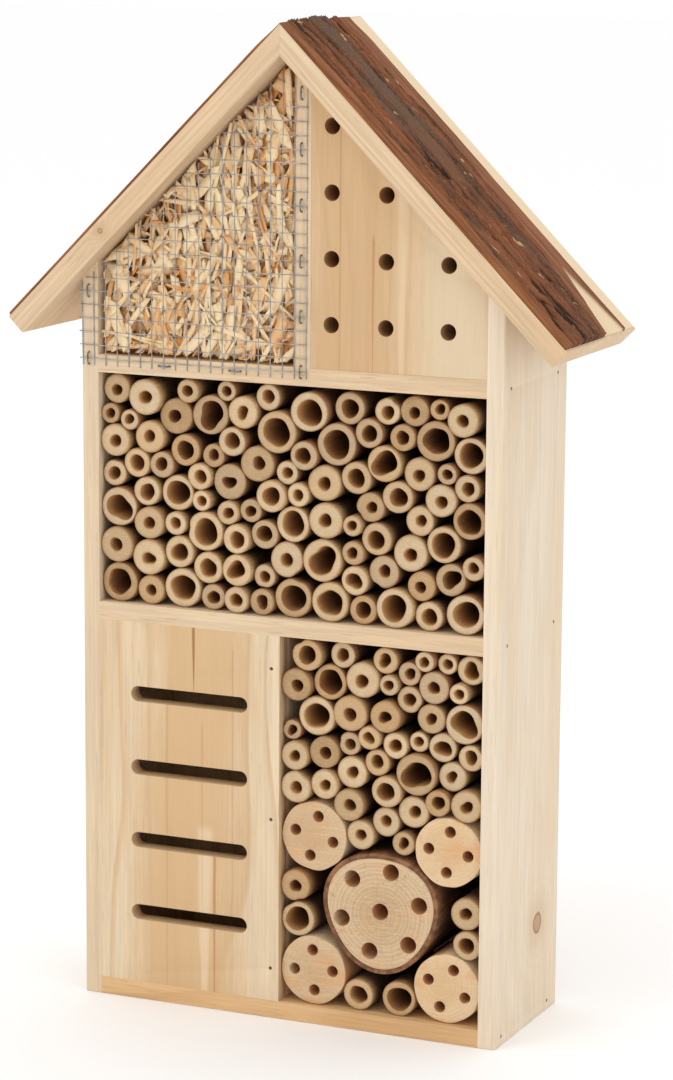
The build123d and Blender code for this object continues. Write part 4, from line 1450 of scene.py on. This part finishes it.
# --------------------------------------------------------------- mesh and staples
class WireSettings(bpy.types.PropertyGroup):
    """The welded wire mesh and its staples."""

    wire: FloatProperty(
        name="Wire", description="Diameter of the mesh wire", default=0.00052, unit="LENGTH"
    )
    pitch_x: FloatProperty(
        name="Width of a cell", description="Distance between upright wires", default=0.0065, unit="LENGTH"
    )
    pitch_z: FloatProperty(
        name="Height of a cell", description="Distance between cross wires", default=0.0068, unit="LENGTH"
    )
    roof_gap: FloatProperty(
        name="Roof gap", description="From the cut wires to the roof", default=0.0012, unit="LENGTH"
    )


# Points round a wire, and the longest straight stretch along it.
WIRE_SIDES = 8
WIRE_STEP = 0.0034
WIRE_SEED = 3
# How far the snipped ends of the wires fall short of the roof.
SNIPPED = 0.004
# How uneven the cross wires' ends are on the left and on the right.
LEFT_UNEVEN = 0.0012
RIGHT_UNEVEN = 0.0005
STAPLE_RADIUS = 0.00042
# Half of a staple from its bend to its middle: share of its reach, and depth behind its crown.
STAPLE_BEND = ((-1, 0.0016), (-0.9, 0.0004), (-0.7, 0.0), (0, -0.00005))


def rings_along(points, radius):
    """Rings of points round a wire's path."""
    vertices = []
    path = [Vector(p) for p in points]
    for index, point in enumerate(path):
        before = path[max(index - 1, 0)]
        after = path[min(index + 1, len(path) - 1)]
        direction = (after - before).normalized()
        across = direction.cross(Vector((0.0, 1.0, 0.0)))
        if across.length < 1e-3:
            across = direction.cross(Vector((1.0, 0.0, 0.0)))
        across.normalize()
        other = direction.cross(across).normalized()
        for side in range(WIRE_SIDES):
            angle = math.tau * side / WIRE_SIDES
            vertices.append(point + radius * (math.cos(angle) * across + math.sin(angle) * other))
    return vertices


def joined_tubes(name, paths):
    """One mesh of many wires. Each path is (points, radius)."""
    points, faces = [], []
    for path, radius in paths:
        faces.extend(tube_faces(len(path), WIRE_SIDES, len(points)))
        points.extend(rings_along(path, radius))
    return mesh_from(name, points, faces)


def stations(start, end):
    """Evenly spaced values along a wire."""
    steps = max(3, int((end - start) / WIRE_STEP))
    return [start + (end - start) * step / steps for step in range(steps + 1)]


def wave(x, z):
    """How far a wire strays sideways at a place on the mesh."""
    return 0.00035 * wrinkle(x * 38, z * 38, 1.0) + 0.00012 * wrinkle(x * 140, z * 140, 4.0)


def mesh_wire_paths(settings):
    """Upright and cross wires, a little wavy, with snipped ends under the roof."""
    rng = random.Random(WIRE_SEED)
    low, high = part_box("wire_mesh")
    radius = settings.wire / 2
    left = low.x + radius
    upright_y = high.y - radius
    cross_y = low.y + radius
    paths = []
    column = 0
    while left + column * settings.pitch_x < high.x:
        x = left + column * settings.pitch_x
        top = under_roof(x) - settings.roof_gap - rng.uniform(0.0, SNIPPED)
        paths.append(([(x + wave(x, z), upright_y, z) for z in stations(low.z, top)], radius))
        column += 1
    z = low.z + settings.pitch_z / 2
    while z < RIDGE_UNDER - 3 * settings.pitch_z:
        reach = (RIDGE_UNDER - z) / math.tan(ROOF_PITCH) - settings.roof_gap
        x_from = left - radius - rng.uniform(0, LEFT_UNEVEN)
        x_from = max(x_from, -reach + rng.uniform(0.0, SNIPPED))
        x_to = min(high.x - rng.uniform(0, RIGHT_UNEVEN), reach)
        paths.append(([(x, cross_y, z + wave(x + 3.0, z)) for x in stations(x_from, x_to)], radius))
        z += settings.pitch_z
    return paths


def staple_paths():
    """Bent wire staples in the places of the CAD staples."""
    paths = []
    for solid in islands("mesh_staples"):
        low, high = Vector(solid.min(0)), Vector(solid.max(0))
        upright = high.z - low.z > high.x - low.x
        radius = STAPLE_RADIUS
        middle = (low + high) / 2
        reach = (high.z - low.z if upright else high.x - low.x) / 2 - radius
        crown = low.y + radius
        path = [(-1, high.y)] + [(share, crown + behind) for share, behind in STAPLE_BEND]
        path += [(-share, y) for share, y in reversed(path[:-1])]
        points = []
        for share, y in path:
            shift = reach * share
            if upright:
                points.append((middle.x, y, middle.z + shift))
            else:
                points.append((middle.x + shift, y, middle.z))
        paths.append((points, radius))
    return paths


def spangled(tree, given):
    """Zinc-coated steel: grey spangle and a few dark spots."""
    spangle = grainy(tree, given["Vector"], given["Scale"], 3.0)
    spots = grainy(tree, given["Vector"], sums(tree, "MULTIPLY", given["Scale"], 2.3), 2.0)
    colour = tinted(tree, given["Light"], given["Dark"], spangle, 0.35, 0.65)
    colour = tinted(tree, colour, shaded(tree, given["Dark"], 0.5), spots, 0.62, 0.72, 0.0, 0.7)
    return {"Color": colour, "Spangle": spangle}


def zinc(name, light, dark, rough_low, rough_high, scale, metallic=0.6):
    """Dull zinc-coated steel."""
    material, tree, shader = new_material(name)
    inputs = {"Vector": NOWHERE, "Scale": 300.0, "Light": WHITE, "Dark": BLACK}
    group = node_group("Spangled steel", inputs, spangled)
    place = object_place(tree)
    made = from_group(tree, group, Vector=place, Scale=scale, Light=light, Dark=dark)
    shader.inputs["Metallic"].default_value = metallic
    rough = remap(tree, made["Spangle"], 0.3, 0.7, rough_low, rough_high)
    dress(tree, shader, made["Color"], rough, 0.5, made["Spangle"], 0.15, 0.0001)
    return material


class HOTEL_OT_wire(bpy.types.Operator):
    """Weaves the wire mesh and drives its staples"""

    bl_idname = "hotel.wire"
    bl_label = "Wire mesh and staples"

    def execute(self, context):
        need("wire_mesh", "mesh_staples")
        settings = context.scene.hotel_wire
        wire = zinc("Zinc wire", (0.44, 0.44, 0.43), (0.27, 0.275, 0.275), 0.35, 0.55, 260.0)
        staple = zinc("Staple steel", (0.25, 0.26, 0.27), (0.11, 0.115, 0.12), 0.3, 0.5, 420.0)
        mesh = joined_tubes("mesh_wires", mesh_wire_paths(settings))
        new_piece("mesh_wires", mesh, ["wire_mesh"], [wire])
        mesh = joined_tubes("staple_wires", staple_paths())
        new_piece("staple_wires", mesh, ["mesh_staples"], [staple])
        return {"FINISHED"}


FASTENINGS = {
    "nails": ("side_nails", "front_nails", "back_nails", "roof_nails"),
    "hanger": ("hanger_plate", "hanger_screws"),
}


class HOTEL_OT_fastenings(bpy.types.Operator):
    """Gives the nails, screws and hanger plate their metal"""

    bl_idname = "hotel.fastenings"
    bl_label = "Nails, screws and hanger"

    def execute(self, context):
        nail, rusty = (0.15, 0.10, 0.065), (0.075, 0.05, 0.034)
        plate, dull = (0.68, 0.69, 0.70), (0.50, 0.51, 0.53)
        metals = {
            "nails": zinc("Nail steel", nail, rusty, 0.5, 0.75, 700.0, metallic=0.2),
            "hanger": zinc("Hanger steel", plate, dull, 0.28, 0.42, 150.0),
        }
        for kind, names in FASTENINGS.items():
            need(*names)
            for name in names:
                NODES[name].data.materials.clear()
                NODES[name].data.materials.append(metals[kind])
        return {"FINISHED"}


# ------------------------------------------------------------------------ stage
class StageSettings(bpy.types.PropertyGroup):
    """Floor, lights and camera."""

    key_power: FloatProperty(
        name="Key light", description="Power of the main softbox", default=11.0, unit="POWER"
    )
    fill_power: FloatProperty(
        name="Fill light", description="Power of the side softbox", default=4.0, unit="POWER"
    )
    surround: FloatProperty(name="Surround", description="Strength of the white room", default=1.0)
    lens: FloatProperty(name="Lens", description="Focal length in millimetres", default=119.5)


# The top light's share of the fill light's power.
TOP_SHARE = 0.7


def area_light(name, place, size, power):
    """A softbox aimed at the house."""
    data = bpy.data.lights.new(name, "AREA")
    data.shape = "RECTANGLE"
    data.size, data.size_y = size
    data.energy = power
    light = bpy.data.objects.new(name, data)
    bpy.context.scene.collection.objects.link(light)
    light.location = place
    aim = Vector(LIGHT_AIM) - Vector(place)
    light.rotation_euler = aim.to_track_quat("-Z", "Y").to_euler()


class HOTEL_OT_stage(bpy.types.Operator):
    """Sets up the pale floor, soft light and camera"""

    bl_idname = "hotel.stage"
    bl_label = "Floor, lights and camera"

    def execute(self, context):
        settings = context.scene.hotel_stage
        scene = context.scene
        scene.view_settings.view_transform = "Standard"
        signs = ((-1, -1), (1, -1), (1, 1), (-1, 1))
        corners = [(x * FLOOR_REACH, y * FLOOR_REACH, 0) for x, y in signs]
        mesh = mesh_from("floor", corners, [(0, 1, 2, 3)])
        floor = bpy.data.objects.new("floor", mesh)
        scene.collection.objects.link(floor)
        floor.location.z = -FLOOR_DROP
        material, _, shader = new_material("Pale floor")
        shader.inputs["Base Color"].default_value = FLOOR_COLOUR
        shader.inputs["Roughness"].default_value = 0.9
        mesh.materials.append(material)
        world = bpy.data.worlds.new("White room")
        world.use_nodes = True
        background = world.node_tree.nodes["Background"]
        background.inputs["Color"].default_value = WHITE
        background.inputs["Strength"].default_value = settings.surround
        scene.world = world
        area_light("Key", (-1.3, -2.0, 1.7), (1.4, 1.4), settings.key_power)
        area_light("Fill", (2.2, -1.2, 0.9), (1.2, 1.6), settings.fill_power)
        area_light("Top", (0.2, 0.6, 2.4), (1.6, 1.6), settings.fill_power * TOP_SHARE)
        data = bpy.data.cameras.new("Camera")
        data.lens = settings.lens
        data.sensor_width = 36.0
        data.sensor_fit = "AUTO"
        data.clip_end = 50.0
        camera = bpy.data.objects.new("Camera", data)
        scene.collection.objects.link(camera)
        turn = (
            Matrix.Rotation(math.radians(CAMERA_YAW), 4, "Z")
            @ Matrix.Rotation(math.radians(90 + CAMERA_PITCH), 4, "X")
            @ Matrix.Rotation(math.radians(-CAMERA_ROLL), 4, "Z")
        )
        camera.matrix_world = Matrix.Translation(CAMERA_PLACE) @ turn
        scene.camera = camera
        return {"FINISHED"}


# ------------------------------------------------------------------ panel and run
OPERATORS = (
    HOTEL_OT_stage,
    HOTEL_OT_boards,
    HOTEL_OT_bark,
    HOTEL_OT_canes,
    HOTEL_OT_logs,
    HOTEL_OT_shavings,
    HOTEL_OT_wire,
    HOTEL_OT_fastenings,
)
SETTINGS = {
    "hotel_boards": BoardSettings,
    "hotel_bark": BarkSettings,
    "hotel_canes": CaneSettings,
    "hotel_logs": LogSettings,
    "hotel_shavings": ShavingSettings,
    "hotel_wire": WireSettings,
    "hotel_stage": StageSettings,
}


class HOTEL_PT_panel(bpy.types.Panel):
    """Lists the steps that build the insect hotel"""

    bl_idname = "HOTEL_PT_panel"
    bl_label = "Insect Hotel"
    bl_space_type = "VIEW_3D"
    bl_region_type = "UI"
    bl_category = "Insect Hotel"

    def draw(self, context):
        for operator in OPERATORS:
            self.layout.operator(operator.bl_idname)
        for name in SETTINGS:
            box = self.layout.box()
            settings = getattr(context.scene, name)
            for key in settings.bl_rna.properties.keys():
                if key not in {"rna_type", "name"}:
                    box.prop(settings, key)


CLASSES = (*SETTINGS.values(), *OPERATORS, HOTEL_PT_panel)


def register():
    """Adds the settings, the steps and their panel."""
    for each in CLASSES:
        bpy.utils.register_class(each)
    for name, group in SETTINGS.items():
        setattr(bpy.types.Scene, name, PointerProperty(type=group))


def unregister():
    """Takes the settings, the steps and their panel away again."""
    for name in SETTINGS:
        delattr(bpy.types.Scene, name)
    for each in reversed(CLASSES):
        bpy.utils.unregister_class(each)


def main():
    """Runs every step in order."""
    register()
    for operator in OPERATORS:
        category, name = operator.bl_idname.split(".")
        getattr(getattr(bpy.ops, category), name)()


if __name__ == "__main__":
    main()
